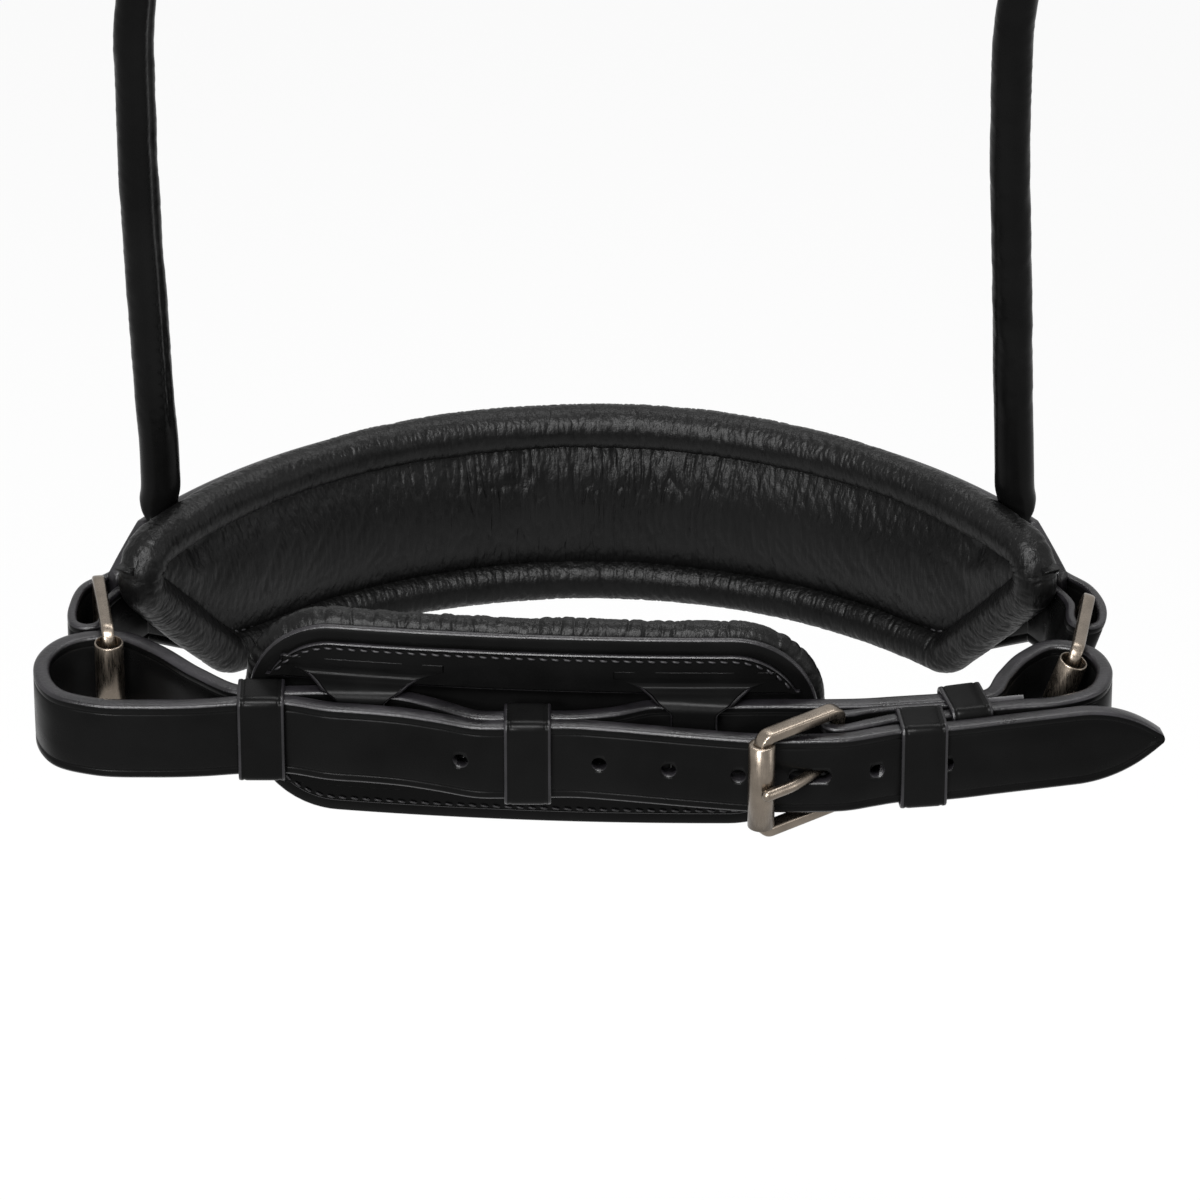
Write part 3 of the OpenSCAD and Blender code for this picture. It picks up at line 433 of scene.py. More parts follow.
# ---- meshes ----
def make_mesh(name, points, faces, materials, at=(0, 0, 0), face_material=None, sharp=False):
    """A mesh object; points are millimetres, moved by at into the row frame."""
    mesh = bpy.data.meshes.new(name)
    mesh.from_pydata(((np.asarray(points, float) + np.asarray(at, float)) * MM).tolist(), [], faces)
    for material in materials:
        mesh.materials.append(material)
    if face_material is not None:
        mesh.polygons.foreach_set("material_index", np.asarray(face_material, np.int32))
    mesh.polygons.foreach_set("use_smooth", np.full(len(mesh.polygons), not sharp))
    mesh.update()
    made = bpy.data.objects.new(name, mesh)
    bpy.context.scene.collection.objects.link(made)
    return made


def grid_faces(n, m, closed_u=False, closed_v=True):
    u = np.arange(n if closed_u else n - 1)
    v = np.arange(m if closed_v else m - 1)
    uu, vv = np.meshgrid(u, v, indexing="ij")
    un, vn = (uu + 1) % n, (vv + 1) % m
    quads = np.stack([uu * m + vv, un * m + vv, un * m + vn, uu * m + vn], axis=-1)
    return quads.reshape(-1, 4).tolist(), vv.reshape(-1), uu.reshape(-1)


def loft(name, grid, materials, at=(0, 0, 0), closed=False, column_material=None, row_material=None):
    """A closed form through a grid of points: rows of closed sections, with flat ends unless the rows close too."""
    n, m = grid.shape[:2]
    faces, column, row = grid_faces(n, m, closed)
    index = np.zeros(len(faces), int)
    if column_material is not None:
        index = np.asarray(column_material)[column]
    if row_material is not None:
        chosen = np.asarray(row_material)[row]
        index = np.where(chosen >= 0, chosen, index)
    index = index.tolist()
    if not closed:
        faces.append(list(range(m)))
        faces.append(list(range((n - 1) * m, n * m))[::-1])
        index += [int(len(materials) > 1)] * 2
    made = make_mesh(name, grid.reshape(-1, 3), faces, materials, at, index)
    recalculate(made)
    return made


def recalculate(obj):
    """Turns every face outwards."""
    work = bmesh.new()
    work.from_mesh(obj.data)
    bmesh.ops.recalc_face_normals(work, faces=work.faces)
    work.to_mesh(obj.data)
    work.free()


def sweep(centres, a_axes, b_axes, sections):
    """Grid of points: each section's two coordinates laid along two axes at each centre."""
    centres = np.asarray(centres, float)
    n = len(centres)
    a_axes, b_axes = np.broadcast_to(a_axes, (n, 3)), np.broadcast_to(b_axes, (n, 3))
    sections = np.broadcast_to(sections, (n,) + np.shape(sections)[-2:])
    return centres[:, None] + sections[..., :1] * a_axes[:, None] + sections[..., 1:] * b_axes[:, None]


def strap_section(low, high, thick, inset=None, depth=None):
    """Section of a leather strap at each row: u through the thickness, v across the width.
    The faces carry a pressed line near each edge, and the edges are rounded. Also says which columns are edge."""
    low, high, thick = np.broadcast_arrays(np.asarray(low, float), np.asarray(high, float), np.asarray(thick, float))
    inset = sizes().crease_inset / MM if inset is None else inset
    depth = sizes().crease_depth / MM if depth is None else depth
    half, width = thick / 2, high - low
    fit = np.clip(width / (2 * inset + 3), 0, 1)
    line = [(0.7, 0), (inset - 0.55, 0.02), (inset - 0.25, -0.45), (inset, -1), (inset + 0.25, -0.45),
            (inset + 0.6, 0.05)]
    face = [(low + o * fit, d) for o, d in line]
    face += [(low + (high - low) * share, 0.12) for share in (0.36, 0.5, 0.64)]
    face += [(high - o * fit, d) for o, d in line[::-1]]
    edge = [(0.22, 0.86), (0.06, 0.5), (0.0, 0.0), (0.06, -0.5), (0.22, -0.86)]
    u, v, is_edge = [], [], []
    for side in (1, -1):
        run = face if side > 0 else face[::-1]
        for position, drop in run:
            u.append(side * (half + drop * depth * ease(fit, 0.85, 1)))
            v.append(position)
            is_edge.append(0)
        end, inward = (high, -1) if side > 0 else (low, 1)
        is_edge[-1] = 1
        for o, share in edge:
            u.append(side * share * half)
            v.append(end + inward * o * fit)
            is_edge.append(1)
    return np.stack([np.stack(u, -1), np.stack(v, -1)], -1), np.array(is_edge)


def plan_ribbon(name, line, low, high, at=NOSE_ORIGIN, row_material=None, shear=None, materials=None, inset=None,
                depth=None):
    """Leather strap on edge whose line is drawn from above: rows of x, y, thickness."""
    flat = np.column_stack([line[:, :2], np.zeros(len(line))])
    t = tangents(flat)
    normal = np.column_stack([-t[:, 1], t[:, 0], np.zeros(len(t))])
    section, edges = strap_section(low, high, line[:, 2], inset, depth)
    up = np.tile([0.0, 0, 1], (len(flat), 1))
    if shear is not None:
        up[:, 0] = shear
    grid = sweep(flat, normal, up, section)
    return loft(name, grid, materials or edged(), at, column_material=edges, row_material=row_material)


def side_ribbon(name, line, width, row_material=None, narrow=None):
    """Leather strap drawn from the front: rows of x, z, thickness; its width runs along y."""
    flat = np.column_stack([line[:, 0], np.zeros(len(line)), line[:, 1]])
    t = tangents(flat)
    normal = np.column_stack([-t[:, 2], np.zeros(len(t)), t[:, 0]])
    half = np.full(len(flat), width / 2) if narrow is None else narrow
    section, edges = strap_section(-half, half, line[:, 2], inset=1.9)
    grid = sweep(flat, normal, np.array([0.0, 1, 0]), section)
    return loft(name, grid, [bridle_leather(), painted_edge(), flesh_side()], column_material=edges,
                row_material=row_material)


def circle(sides):
    """Evenly spaced angles round a circle."""
    return np.arange(sides) * 2 * math.pi / sides


def round_section(radii_u, radii_v, power=2.0, sides=28):
    """Closed sections, from a circle at power 2 towards a rounded box at higher powers."""
    a = circle(sides)
    c, s = np.cos(a), np.sin(a)
    power = np.asarray(power, float)[..., None]
    shape = lambda w: np.sign(w) * np.abs(w) ** (2 / power)
    return np.stack([np.asarray(radii_u, float)[..., None] * shape(c),
                     np.asarray(radii_v, float)[..., None] * shape(s)], -1)


def cut(obj, tools):
    """Takes the tools' shapes out of obj and removes them."""
    bpy.context.view_layer.update()
    for tool in tools:
        modifier = obj.modifiers.new("cut", "BOOLEAN")
        modifier.operation, modifier.solver, modifier.object = "DIFFERENCE", "EXACT", tool
    finished(obj)
    for tool in tools:
        bpy.data.objects.remove(tool)


def finished(obj):
    """Applies obj's modifiers."""
    bpy.context.view_layer.update()
    graph = bpy.context.evaluated_depsgraph_get()
    mesh = bpy.data.meshes.new_from_object(obj.evaluated_get(graph))
    obj.modifiers.clear()
    obj.data = mesh


def punch(centre, axis, radius, length, at=(0, 0, 0)):
    """A rod to cut a hole with."""
    axis = unit(axis)
    side = unit(np.cross(axis, [0.3, 0.1, 1] if abs(axis[2]) < 0.9 else [1, 0, 0]))
    other = np.cross(axis, side)
    ends = np.array([np.asarray(centre) - axis * length / 2, np.asarray(centre) + axis * length / 2])
    return loft("punch", sweep(ends, side, other, round_section(radius, radius, sides=24)), [painted_edge()], at)


def opening(outlines, at=(0, 0, 0)):
    """A block between two outlines, to cut an opening with."""
    return loft("punch", np.array(outlines), [painted_edge()], at)


def seat(obj, body, slot, *nodes):
    """obj rides with a body and stands for the nodes, which it hides. The slot is not used."""
    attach(obj, body)
    if nodes:
        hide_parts(*nodes)
    return obj


def stitches(name, path, normals, at, body, slot="bridle_leather", pitch=None, sink=0.1, share=0.72):
    """A row of separate stitches along a path, each lying on the leather and dipping in at its ends."""
    pitch = sizes().stitch_pitch / MM if pitch is None else pitch
    r = sizes().thread_d / MM / 2
    both = respaced(np.column_stack([path, normals]), pitch)
    p, normal = both[:, :3], unit(both[:, 3:])
    t = tangents(p)
    side = unit(np.cross(t, normal))
    t = unit(t + 0.16 * side)
    side = unit(np.cross(t, normal))
    rings, sides = 7, 8
    s = np.linspace(-1, 1, rings)
    radius = r * np.sqrt(np.clip(1 - 0.92 * s**4, 0, 1))
    dip = -0.9 * r * s**4
    a = circle(sides)
    centre = (p[:, None, :] + (s * pitch * share / 2)[None, :, None] * t[:, None]
              + (dip + r - sink)[None, :, None] * normal[:, None])
    points = (centre[:, :, None] + (radius[:, None] * np.cos(a))[None, :, :, None] * side[:, None, None]
              + (radius[:, None] * np.sin(a))[None, :, :, None] * normal[:, None, None])
    faces, _, _ = grid_faces(rings, sides)
    one = np.array(faces)
    all_faces = []
    for k in range(len(p)):
        base = k * rings * sides
        all_faces += (one + base).tolist()
        all_faces.append([base + i for i in range(sides)])
        all_faces.append([base + (rings - 1) * sides + i for i in reversed(range(sides))])
    made = make_mesh(name, points.reshape(-1, 3), all_faces, [waxed_thread()], at)
    recalculate(made)
    return seat(made, body, slot)


def turned(points, pivot, axis, degrees):
    """Points turned about an axis through pivot."""
    turn = np.array(Matrix.Rotation(math.radians(degrees), 3, Vector(axis)))
    pivot = np.asarray(pivot, float)
    return (np.asarray(points) - pivot) @ turn.T + pivot


def rolled_over(points, back, direction, lean):
    return turned(points, (back[0], back[1], 0), (direction[0], direction[1], 0), -lean)


def on_nose(r, a, z=0.0):
    r, a, z = np.broadcast_arrays(np.asarray(r, float), np.asarray(a, float), np.asarray(z, float))
    return np.stack([r * sin(a), NOSE_CY + r * cos(a), z], -1)


def away(points):
    """Level directions out from the nose's middle."""
    return unit(points * [1, 1, 0] - [0, NOSE_CY, 0])


def edged():
    """Materials of a strap: its face, then its edge."""
    return [bridle_leather(), painted_edge()]


def steel_piece(name, grid, body, *nodes, at=NOSE_ORIGIN, closed=True):
    seat(loft(name, grid, [satin_steel()], at, closed=closed), body, "satin_steel", *nodes)


def ring_grid(centre, radius, around, side, back):
    """Points at a radius round each point of a line, between two axes."""
    return centre[:, None] + (radius * np.cos(around))[..., None] * side + (radius * np.sin(around))[..., None] * back


# ---- nosepiece ----
def roll_outline():
    """Line of the edge roll, as arc length across and height."""
    mid = (END_A - 1) * math.pi / 180 * NOSE_R
    slant = ROLL_Z * math.tan(math.radians(END_SLANT))
    corners = [(-mid - slant, ROLL_Z), (mid + slant, ROLL_Z), (mid - slant, -ROLL_Z), (-mid + slant, -ROLL_Z)]
    return round_corners(corners, ROLL_R + 0.8, 8)


def build_nose_roll():
    outline = respaced(roll_outline(), 0.3, closed=True)
    # it starts in the middle of the lower run
    outline = np.roll(outline, -int(np.argmin(np.abs(outline[:, 0]) + 100 * (outline[:, 1] > 0))), axis=0)
    angle = np.degrees(outline[:, 0] / NOSE_R)
    centre = on_nose(NOSE_R, angle, outline[:, 1])
    outward = away(centre)
    t = tangents(centre, closed=True)
    across = unit(np.cross(t, outward))
    outward = np.cross(across, t)
    at, full = lengths(centre, closed=True)
    sides = 40
    around = circle(sides)
    depth = sizes().roll_wrinkle_depth / MM
    s = at[:, None]
    # the cross wrinkles fade where they go under the seams, and the skin bunches a little at the corners
    joined = ease(np.minimum(s, full - s), 0, 4)
    fold = wrinkles(s / 1.3, np.cos(around)[None] * 2.4 + np.sin(around)[None] * 1.9, 11)
    slow = (0.28 * value_noise(s / 21, np.cos(around)[None] * 0.6, 21)
            + 0.12 * value_noise(s / 7, np.sin(around)[None], 22))
    end_share = ease(np.abs(angle), 50, 58)[:, None]
    radius = ROLL_R - 0.12 + joined * slow - joined * depth * (1.2 + 0.25 * end_share) * (1 - fold)
    made = loft("nose_edge_roll_nappa", ring_grid(centre, radius, around, outward[:, None], across[:, None]),
                [nappa_leather()], NOSE_ORIGIN, closed=True)
    seat(made, "noseband", "nappa_leather", "nose_edge_roll", "nose_edge_cord")


def build_nose_panel():
    """The soft panel between the rolls: a closed pad, crowned towards the nose and sewn down beside the roll."""
    half_h = ROLL_Z - 1.2
    rows = np.linspace(-1, 1, 73)
    columns = 860
    mid = np.radians(END_A - 1) * NOSE_R
    share = np.linspace(-1, 1, columns)
    z = half_h * np.sign(rows) * np.abs(rows) ** 0.9
    reach = mid + z * math.tan(math.radians(END_SLANT)) - 0.8
    arc = share[:, None] * reach[None, :]
    zz = np.broadcast_to(z, arc.shape)
    angle = np.degrees(arc / NOSE_R)
    # distance from the border; the two sides meet softly in the corners
    soft = 2.5
    from_side, from_end = half_h - np.abs(zz), (reach[None] - np.abs(arc)) * cos(END_SLANT)
    edge = -soft * np.log(np.exp(-from_side / soft) + np.exp(-from_end / soft))
    # deep beside the roll, then a soft crown
    rise = ease(edge, 3, 6)
    crown = PANEL_CROWN * (1 - (1 - np.clip((edge - 3.2) / 16.5, 0, 1)) ** 2)
    centre_share = 1 - ease(np.abs(angle), 8, 34)
    depth = sizes().wrinkle_depth / MM
    fold = wrinkles(arc / 2.1, zz / 15, 31)
    fine = wrinkles(arc / 1.05 + zz * 0.05, zz / 5, 41)
    side_fold = wrinkles((arc + 0.6 * zz * np.sign(arc)) / 3.4, zz / 16, 51)
    high_share = 0.45 + 0.55 * ease(zz, -14, 4)
    relief = -depth * ((1 - fold) * (0.5 + 2.6 * centre_share * high_share) + 0.9 * (1 - fine)
                       + 1.1 * (1 - side_fold) * (1 - centre_share))
    relief += 0.3 * value_noise(arc / 26, zz / 18, 61)
    # pinches where the cheeks are sewn in behind: angle, height, depth, width, length
    for where, height, amount, wide, tall in (
            (-50.5, 12.5, 1.5, 2.6, 3.0), (50.5, 12.0, 1.5, 2.4, 3.2),
            (-49, 5.5, 0.7, 3.2, 2.6), (49, 4.5, 0.8, 3.0, 3.0)):
        off_side, off_height = (arc - math.radians(where) * NOSE_R) / wide, (zz - height) / tall
        relief -= amount * np.exp(-(off_side**2 + off_height**2) / 2)
    inner = NOSE_R - ROLL_R + 4.6 - crown - relief * rise
    front = on_nose(inner, angle, zz)
    back = on_nose(np.full_like(inner, NOSE_R + 3.2), angle, zz)
    grid = np.concatenate([front, back[:, ::-1]], axis=1)
    made = loft("nose_panel_nappa", grid, [nappa_leather()], NOSE_ORIGIN)
    seat(made, "noseband", "nappa_leather", "nose_foam", "nose_lining", "nose_web")


def build_nose_seams():
    """Stitches that sink into the valley between panel and roll."""
    outline = respaced(roll_outline(), 0.8, closed=True)
    t = tangents(np.column_stack([outline, np.zeros(len(outline))]), closed=True)[:, :2]
    inward = np.column_stack([-t[:, 1], t[:, 0]])
    inward *= np.sign(np.sum(inward * -outline, axis=1))[:, None]
    line = outline + inward * (ROLL_R + 0.15)
    angle = np.degrees(line[:, 0] / NOSE_R)
    path = on_nose(NOSE_R - 1.05, angle, line[:, 1])
    normal = away(path)
    stitches("nose_seam_stitches", np.vstack([path, path[:1]]), -np.vstack([normal, normal[:1]]), NOSE_ORIGIN,
             "noseband", "nappa_leather", pitch=2.4, sink=0.32)


def build_nose_outer():
    """The firm strap outside the nosepiece, its ends cut to a blunt point."""
    r = OUTER_R0 + OUTER_T / 2
    angle = np.linspace(-59.3, 59.3, 520)
    past = np.radians(np.abs(angle)) * NOSE_R
    top = np.minimum(OUTER_H / 2 - OUTER_TOP_DROP, (math.radians(67) * NOSE_R - past) / math.tan(math.radians(53)))
    bottom = -np.minimum(OUTER_H / 2, (math.radians(63) * NOSE_R - past) / math.tan(math.radians(56)))
    centre = on_nose(r, angle)
    outward = away(centre)
    section, edges = strap_section(bottom, top, OUTER_T, inset=2.6)
    made = loft("nose_outer_strap", sweep(centre, outward, UP, section),
                edged(), NOSE_ORIGIN, column_material=edges)
    seat(made, "noseband", "bridle_leather", "nose_strap")
    inner = np.abs(angle) < 46
    for name, height in (("top", OUTER_H / 2 - 7.1), ("bottom", -OUTER_H / 2 + 4.4)):
        path = on_nose(r + OUTER_T / 2 + 0.02, angle[inner], height)
        stitches(f"nose_outer_stitches_{name}", path, outward[inner], NOSE_ORIGIN, "noseband")
    # the strap stitched over it carries the cheeks and rings
    for s, tag in ((-1, "left"), (1, "right")):
        corners = [(48.2, 16.0), (53.0, 16.0), (53.0, -7.0), (48.2, -7.0), (48.2, 16.0)]
        box = np.vstack([np.linspace(a, b, n) for a, b, n in zip(corners, corners[1:], (14, 10, 14, 10))])
        path = on_nose(r + OUTER_T / 2 + 0.02, s * box[:, 0], box[:, 1])
        stitches(f"{tag}_cheek_box_stitches", path, away(path), NOSE_ORIGIN, "noseband")


def fold_rows(s, fold_x, bulge, leave_a):
    """Line of a ring tab: along the strap's outside, round the bar and back in under it.
    The last number of a row is its share of the lean."""
    outer_r = OUTER_R0 + OUTER_T + 0.3 + FOLD_T / 2
    inner_r = TAB_R0 + FOLD_T / 2
    rows = [[*on_nose(outer_r, s * a)[:2], FOLD_T, 0] for a in (46, 49, 52, 55, 58)]
    rows.append([*on_nose(outer_r + bulge, s * 61)[:2], FOLD_T, 0.3])
    rows.append([fold_x + s * FOLD_R, FOLD_Y + 7, FOLD_T, 1])
    rows += [[fold_x + s * FOLD_R * cos(a), FOLD_Y + FOLD_R * sin(a), FOLD_T, 1] for a in range(0, -181, -30)]
    rows.append([fold_x - s * FOLD_R, FOLD_Y + 7, FOLD_T, 1])
    rows += [[*on_nose(inner_r, s * a)[:2], FOLD_T, 0] for a in (leave_a, (leave_a + 55.6) / 2, 55.6)]
    return rows


def build_ring_tab(side):
    s, fold_x, bulge, leave_a, lean = {"left": (-1, LEFT_FOLD_X, 2.3, 60.5, 0),
                                       "right": (1, RIGHT_FOLD_X, 0.6, 58.8, RIGHT_LEAN)}[side]
    line = smooth(fold_rows(s, fold_x, bulge, leave_a), 8)
    shear = math.tan(math.radians(lean)) * line[:, 3]
    made = plan_ribbon(f"{side}_ring_tab_leather", line[:, :3], -STRAP_W / 2, STRAP_W / 2, shear=shear)
    seat(made, "noseband", "bridle_leather", f"{side}_ring_tab")
    on_strap = respaced(on_nose(OUTER_R0 + OUTER_T + 0.3 + FOLD_T + 0.04, s * np.linspace(46.6, 57.5, 30)), 1.0)
    outward = away(on_strap)
    for tag, z in (("upper", 7.9), ("lower", -7.9)):
        stitches(f"{side}_tab_stitches_{tag}", on_strap + [0, 0, z], outward, NOSE_ORIGIN, "noseband")


# ---- squares ----
def wire_square(length, arm_z, corner, arm_half, bar_half):
    """Closed wire in its own plane: arms at top and bottom, bars at the two ends.
    arm_half and bar_half are half sizes, the arm's in and out of the plane."""
    outline = respaced(round_corners([(0, -arm_z), (length, -arm_z), (length, arm_z), (0, arm_z)], corner, 8), 0.35,
                       closed=True)
    centre = np.column_stack([outline[:, 0], np.zeros(len(outline)), outline[:, 1]])
    t = tangents(centre, closed=True)
    out_of_plane = np.array([0.0, 1, 0])
    in_plane = np.cross(t, out_of_plane)
    bar = ease(np.abs(outline[:, 1]), arm_z - 0.4, arm_z - 3.4)
    size_in = arm_half[0] * (1 - bar) + bar_half * bar
    size_out = arm_half[1] * (1 - bar) + bar_half * bar
    return sweep(centre, in_plane, out_of_plane, round_section(size_in, size_out, 2 + 2.6 * (1 - bar), 24))


def in_plan(points, origin, direction):
    """Moves points drawn along x to start at origin and run along direction, seen from above."""
    turn = math.degrees(math.atan2(direction[1], direction[0]))
    return turned(points, (0, 0, 0), (0, 0, 1), turn) + [origin[0], origin[1], 0]


def tube_grid(radius, wall, length, sides=56):
    """Thin tube with rounded rims, standing along z."""
    rim = [(radius - wall, -1), (radius - wall, 1), (radius - wall * 0.75, 1.01), (radius - wall * 0.25, 1.01),
           (radius, 0.99), (radius, -0.99), (radius - wall * 0.25, -1.01), (radius - wall * 0.75, -1.01)]
    a = circle(sides)
    return np.array([[[r * math.cos(w), r * math.sin(w), z * length / 2] for r, z in rim] for w in a])


def build_square(side):
    back, direction = (LEFT_BACK, LEFT_DIR) if side == "left" else (RIGHT_BACK, RIGHT_DIR)
    lean = 0 if side == "left" else RIGHT_LEAN
    ring = in_plan(wire_square(SQUARE_L, ARM_Z, 2.7, (1.3, 1.5), WIRE_R), back, direction)
    steel_piece(f"{side}_square_ring", rolled_over(ring, back, direction, lean), f"{side}_square", f"{side}_square")
    tube = tube_grid(TUBE_R, TUBE_WALL, TUBE_L)
    centre = back + (SQUARE_L + TUBE_DROP) * direction
    tube = tube + [centre[0], centre[1], 0]
    steel_piece(f"{side}_loose_tube", rolled_over(tube, back, direction, lean), f"{side}_tube", f"{side}_tube")


# ---- crank strap ----
def chin_front(x):
    return -CHIN_SAG + np.asarray(x, float) ** 2 / (2 * CHIN_ARC_R)


def pad_y(x):
    return CHIN_AT[1] + (x - CHIN_AT[0]) * math.tan(math.radians(CHIN_TURN)) + float(chin_front(x - CHIN_AT[0]))


def inner_y(x):
    return pad_y(x) - LEATHER_GAP - STRAP_T / 2


def outer_y(x):
    return pad_y(x) - OVERLAY_GAP - BRIDGE_CLEAR - OVERLAY_T - 1.2 - STRAP_T / 2


LEG = STRAP_T + LEATHER_GAP
INNER_KEEPER_Y = pad_y(-71) - KEEPER_T - STRAP_T / 2 - 1.2
INNER_MID_Y = -67.8
OUTER_MID_Y = INNER_MID_Y - LEG
STACK_Y, CHAPE_LEG_T, TURN_BACK_T = -68.35, STRAP_T - 0.6, 1.8
TIP_LEG_Y = STACK_Y - (CHAPE_LEG_T + STRAP_T) / 2 - 1.55
TURN_BACK_Y = STACK_Y + (CHAPE_LEG_T + TURN_BACK_T) / 2 + KEEPER_T + 0.6
INNER_STACK_Y = TURN_BACK_Y + (TURN_BACK_T + STRAP_T) / 2 + 0.3
TIP_L, TIP_POINT_L, TIP_BLUNT_R = 32.5, 22.0, 2.4


def crank_rows():
    """Line of the crank strap from its turned-back end, round the bars and rings, to its pointed tip."""
    t, chape = STRAP_T, CHAPE_LEG_T
    rx, ry = RIGHT_FRONT
    lx, ly = LEFT_FRONT
    seat_y = ly + LEFT_DIR[1] * TUBE_DROP + TUBE_R + 0.3 + t / 2
    under_roller = ROLLER_BAR[1] + ROLLER_R + 0.3 + t / 2
    over_bar = CHAPE_BAR[1] - CHAPE_R - CHAPE_T / 2 - LEATHER_GAP - t / 2 - 0.7
    thin = TURN_BACK_T
    rows = [(x, TURN_BACK_Y + y, k) for x, y, k in [
        (102, 4.2, 1.4), (94, 2.7, thin - 0.2), (88, 1.4, thin), (83, 0.65, thin), (77.5, 0, thin),
        (72, -0.65, thin), (66, -1.75, 2)]]
    rows += [(CHAPE_BAR[0] + CHAPE_R * cos(a), CHAPE_BAR[1] + CHAPE_R * sin(a), CHAPE_T) for a in range(75, 286, 30)]
    rows += [(x, STACK_Y + y, k) for x, y, k in [
        (66, -2.9, chape), (72, -0.7, chape), (77.5, 0, chape), (83, 0.65, chape), (88, 2.3, chape),
        (94, 4, chape + 0.2), (101, 5.4, t)]]
    rows += [(rx + x, ry + y, t) for x, y in [
        (-1.8, -18.1), (7.8, -12.9), (10.3, -3.3), (6.4, 5.1), (-1.4, 7.5), (-8.2, 2.2), (-13.2, -6.2)]]
    rows += [(x, INNER_STACK_Y + y, t) for x, y in [
        (94, 2.65), (88, 1.45), (83, 0.65), (77.5, 0), (72, -0.65), (66, -1.4)]]
    rows += [(x, inner_y(x) + y, t) for x, y in [(57, -0.5), (45, 0), (33, 0), (21, 0), (15, -0.4)]]
    rows += [(x, INNER_MID_Y + y, t) for x, y in [(6, 1.4), (-2, 0), (-14, 0), (-26, 0), (-35, 4.8)]]
    rows += [(x, inner_y(x) + y, t) for x, y in [(-43, -0.6), (-52, 0), (-60, 0)]]
    rows += [(-71, INNER_KEEPER_Y, t), (-82, INNER_KEEPER_Y + 0.4, t)]
    rows += [(lx + 21.8, ly - 12.4, t), (lx + 10.6, ly - 0.8, t)]
    rows += [(lx + x, seat_y + y, t) for x, y in [(3.4, -0.3), (-2.6, 0.3), (-10.1, -2.4)]]
    rows += [(lx + x, ly + y, t) for x, y in [
        (-14.8, -5.3), (-15, -13.3), (-11.2, -21.3), (-2.6, -25.3), (10.8, -26.3)]]
    first_outer = len(rows)
    rows += [(x, INNER_KEEPER_Y - LEG + y, t) for x, y in [(-90, -1.4), (-82, -0.4), (-71, 0)]]
    rows += [(x, outer_y(x) + y, t) for x, y in [(-60, 0), (-52, 0), (-43, -0.5)]]
    rows += [(x, OUTER_MID_Y + y, t) for x, y in [(-34, 2.6), (-26, 0), (-14, 0), (-2, 0), (5, -0.9), (14.4, -2.4)]]
    rows += [(25, under_roller + 2.0, t), (ROLLER_BAR[0], under_roller, t), (52, over_bar - 0.2, t),
             (60.9, over_bar + 0.5, t)]
    rows += [(x, TIP_LEG_Y + y, t) for x, y in [
        (66, -2.5), (72, -0.7), (77.5, 0), (83, 0.5), (88, 1.4), (94, 2.8), (104, 5), (118, 8.1), (138, 12.5)]]
    return rows, first_outer


def pointed_half(distance, length, width, point_l):
    """Half width of a pointed end, at distances along it: straight sides, then two arcs that meet."""
    r = (point_l * point_l + width * width / 4) / width
    d = np.clip(np.asarray(distance, float) - (length - point_l), 0, point_l)
    return np.maximum(np.sqrt(r * r - d * d) - (r - width / 2), 0.02)


def build_crank_strap():
    rows, first_outer = crank_rows()
    steps = 10
    line = smooth(rows, steps)
    at, _ = lengths(line[:, :2])
    outer = line[first_outer * steps:]
    tip_start = at[first_outer * steps + int(np.argmin(np.abs(outer[:, 0] - 104)))]
    near_tip = tip_start + TIP_L - 3
    spaced = np.append(np.arange(0, near_tip, 0.8), near_tip + 2.24 * np.sin(np.linspace(0, 1, 12) * math.pi / 2))
    line = np.column_stack([np.interp(spaced, at, line[:, i]) for i in range(3)])
    # the point is blunted by an arc that meets both sides
    slant = math.atan(TIP_POINT_L / ((TIP_POINT_L**2 - STRAP_W**2 / 4) / STRAP_W))
    left = np.maximum(tip_start + TIP_L - TIP_BLUNT_R * (1 / math.sin(slant) - 1) - spaced, 0)
    blunt = np.sqrt(np.maximum(2 * TIP_BLUNT_R * left - left**2, 1e-3))
    nose = np.where(left < TIP_BLUNT_R * (1 - math.sin(slant)), blunt, STRAP_W)
    half = np.minimum(pointed_half(spaced - tip_start, TIP_L, STRAP_W, TIP_POINT_L), nose)
    row_material = np.where(spaced < 15, 2, -1)
    made = plan_ribbon("crank_strap_leather", line, -half, half, row_material=row_material,
                       materials=[bridle_leather(), painted_edge(), flesh_side()])
    leg_y = lambda x: float(np.interp(x, outer[:, 0], outer[:, 1]))
    tools = [punch((x, leg_y(x) - 0.9, 0), (0, 1, 0), HOLE_D / 2 - 0.2, 6.4, NOSE_ORIGIN)
             for x in [TONGUE_HOLE_X - 0.5 + k * HOLE_PITCH for k in range(-5, 3) if k]]
    outline = round_corners([(x * 5.0, z * 1.9) for x, z in RECTANGLE], 1.85, 5)
    slot = [[(TONGUE_HOLE_X + u, leg_y(TONGUE_HOLE_X) + y, v) for u, v in outline] for y in (-3.6, 2.4)]
    tools.append(opening(slot, NOSE_ORIGIN))
    mouth = [[(CHAPE_BAR[0] - 1.5 + u * 6.5, CHAPE_BAR[1] + y, v * 2.0) for u, v in RECTANGLE]
             for y in (-CHAPE_R - 1.5, CHAPE_R + 1.4)]
    tools.append(opening(mouth, NOSE_ORIGIN))
    cut(made, tools)
    seat(made, "noseband", "bridle_leather", "crank_strap")


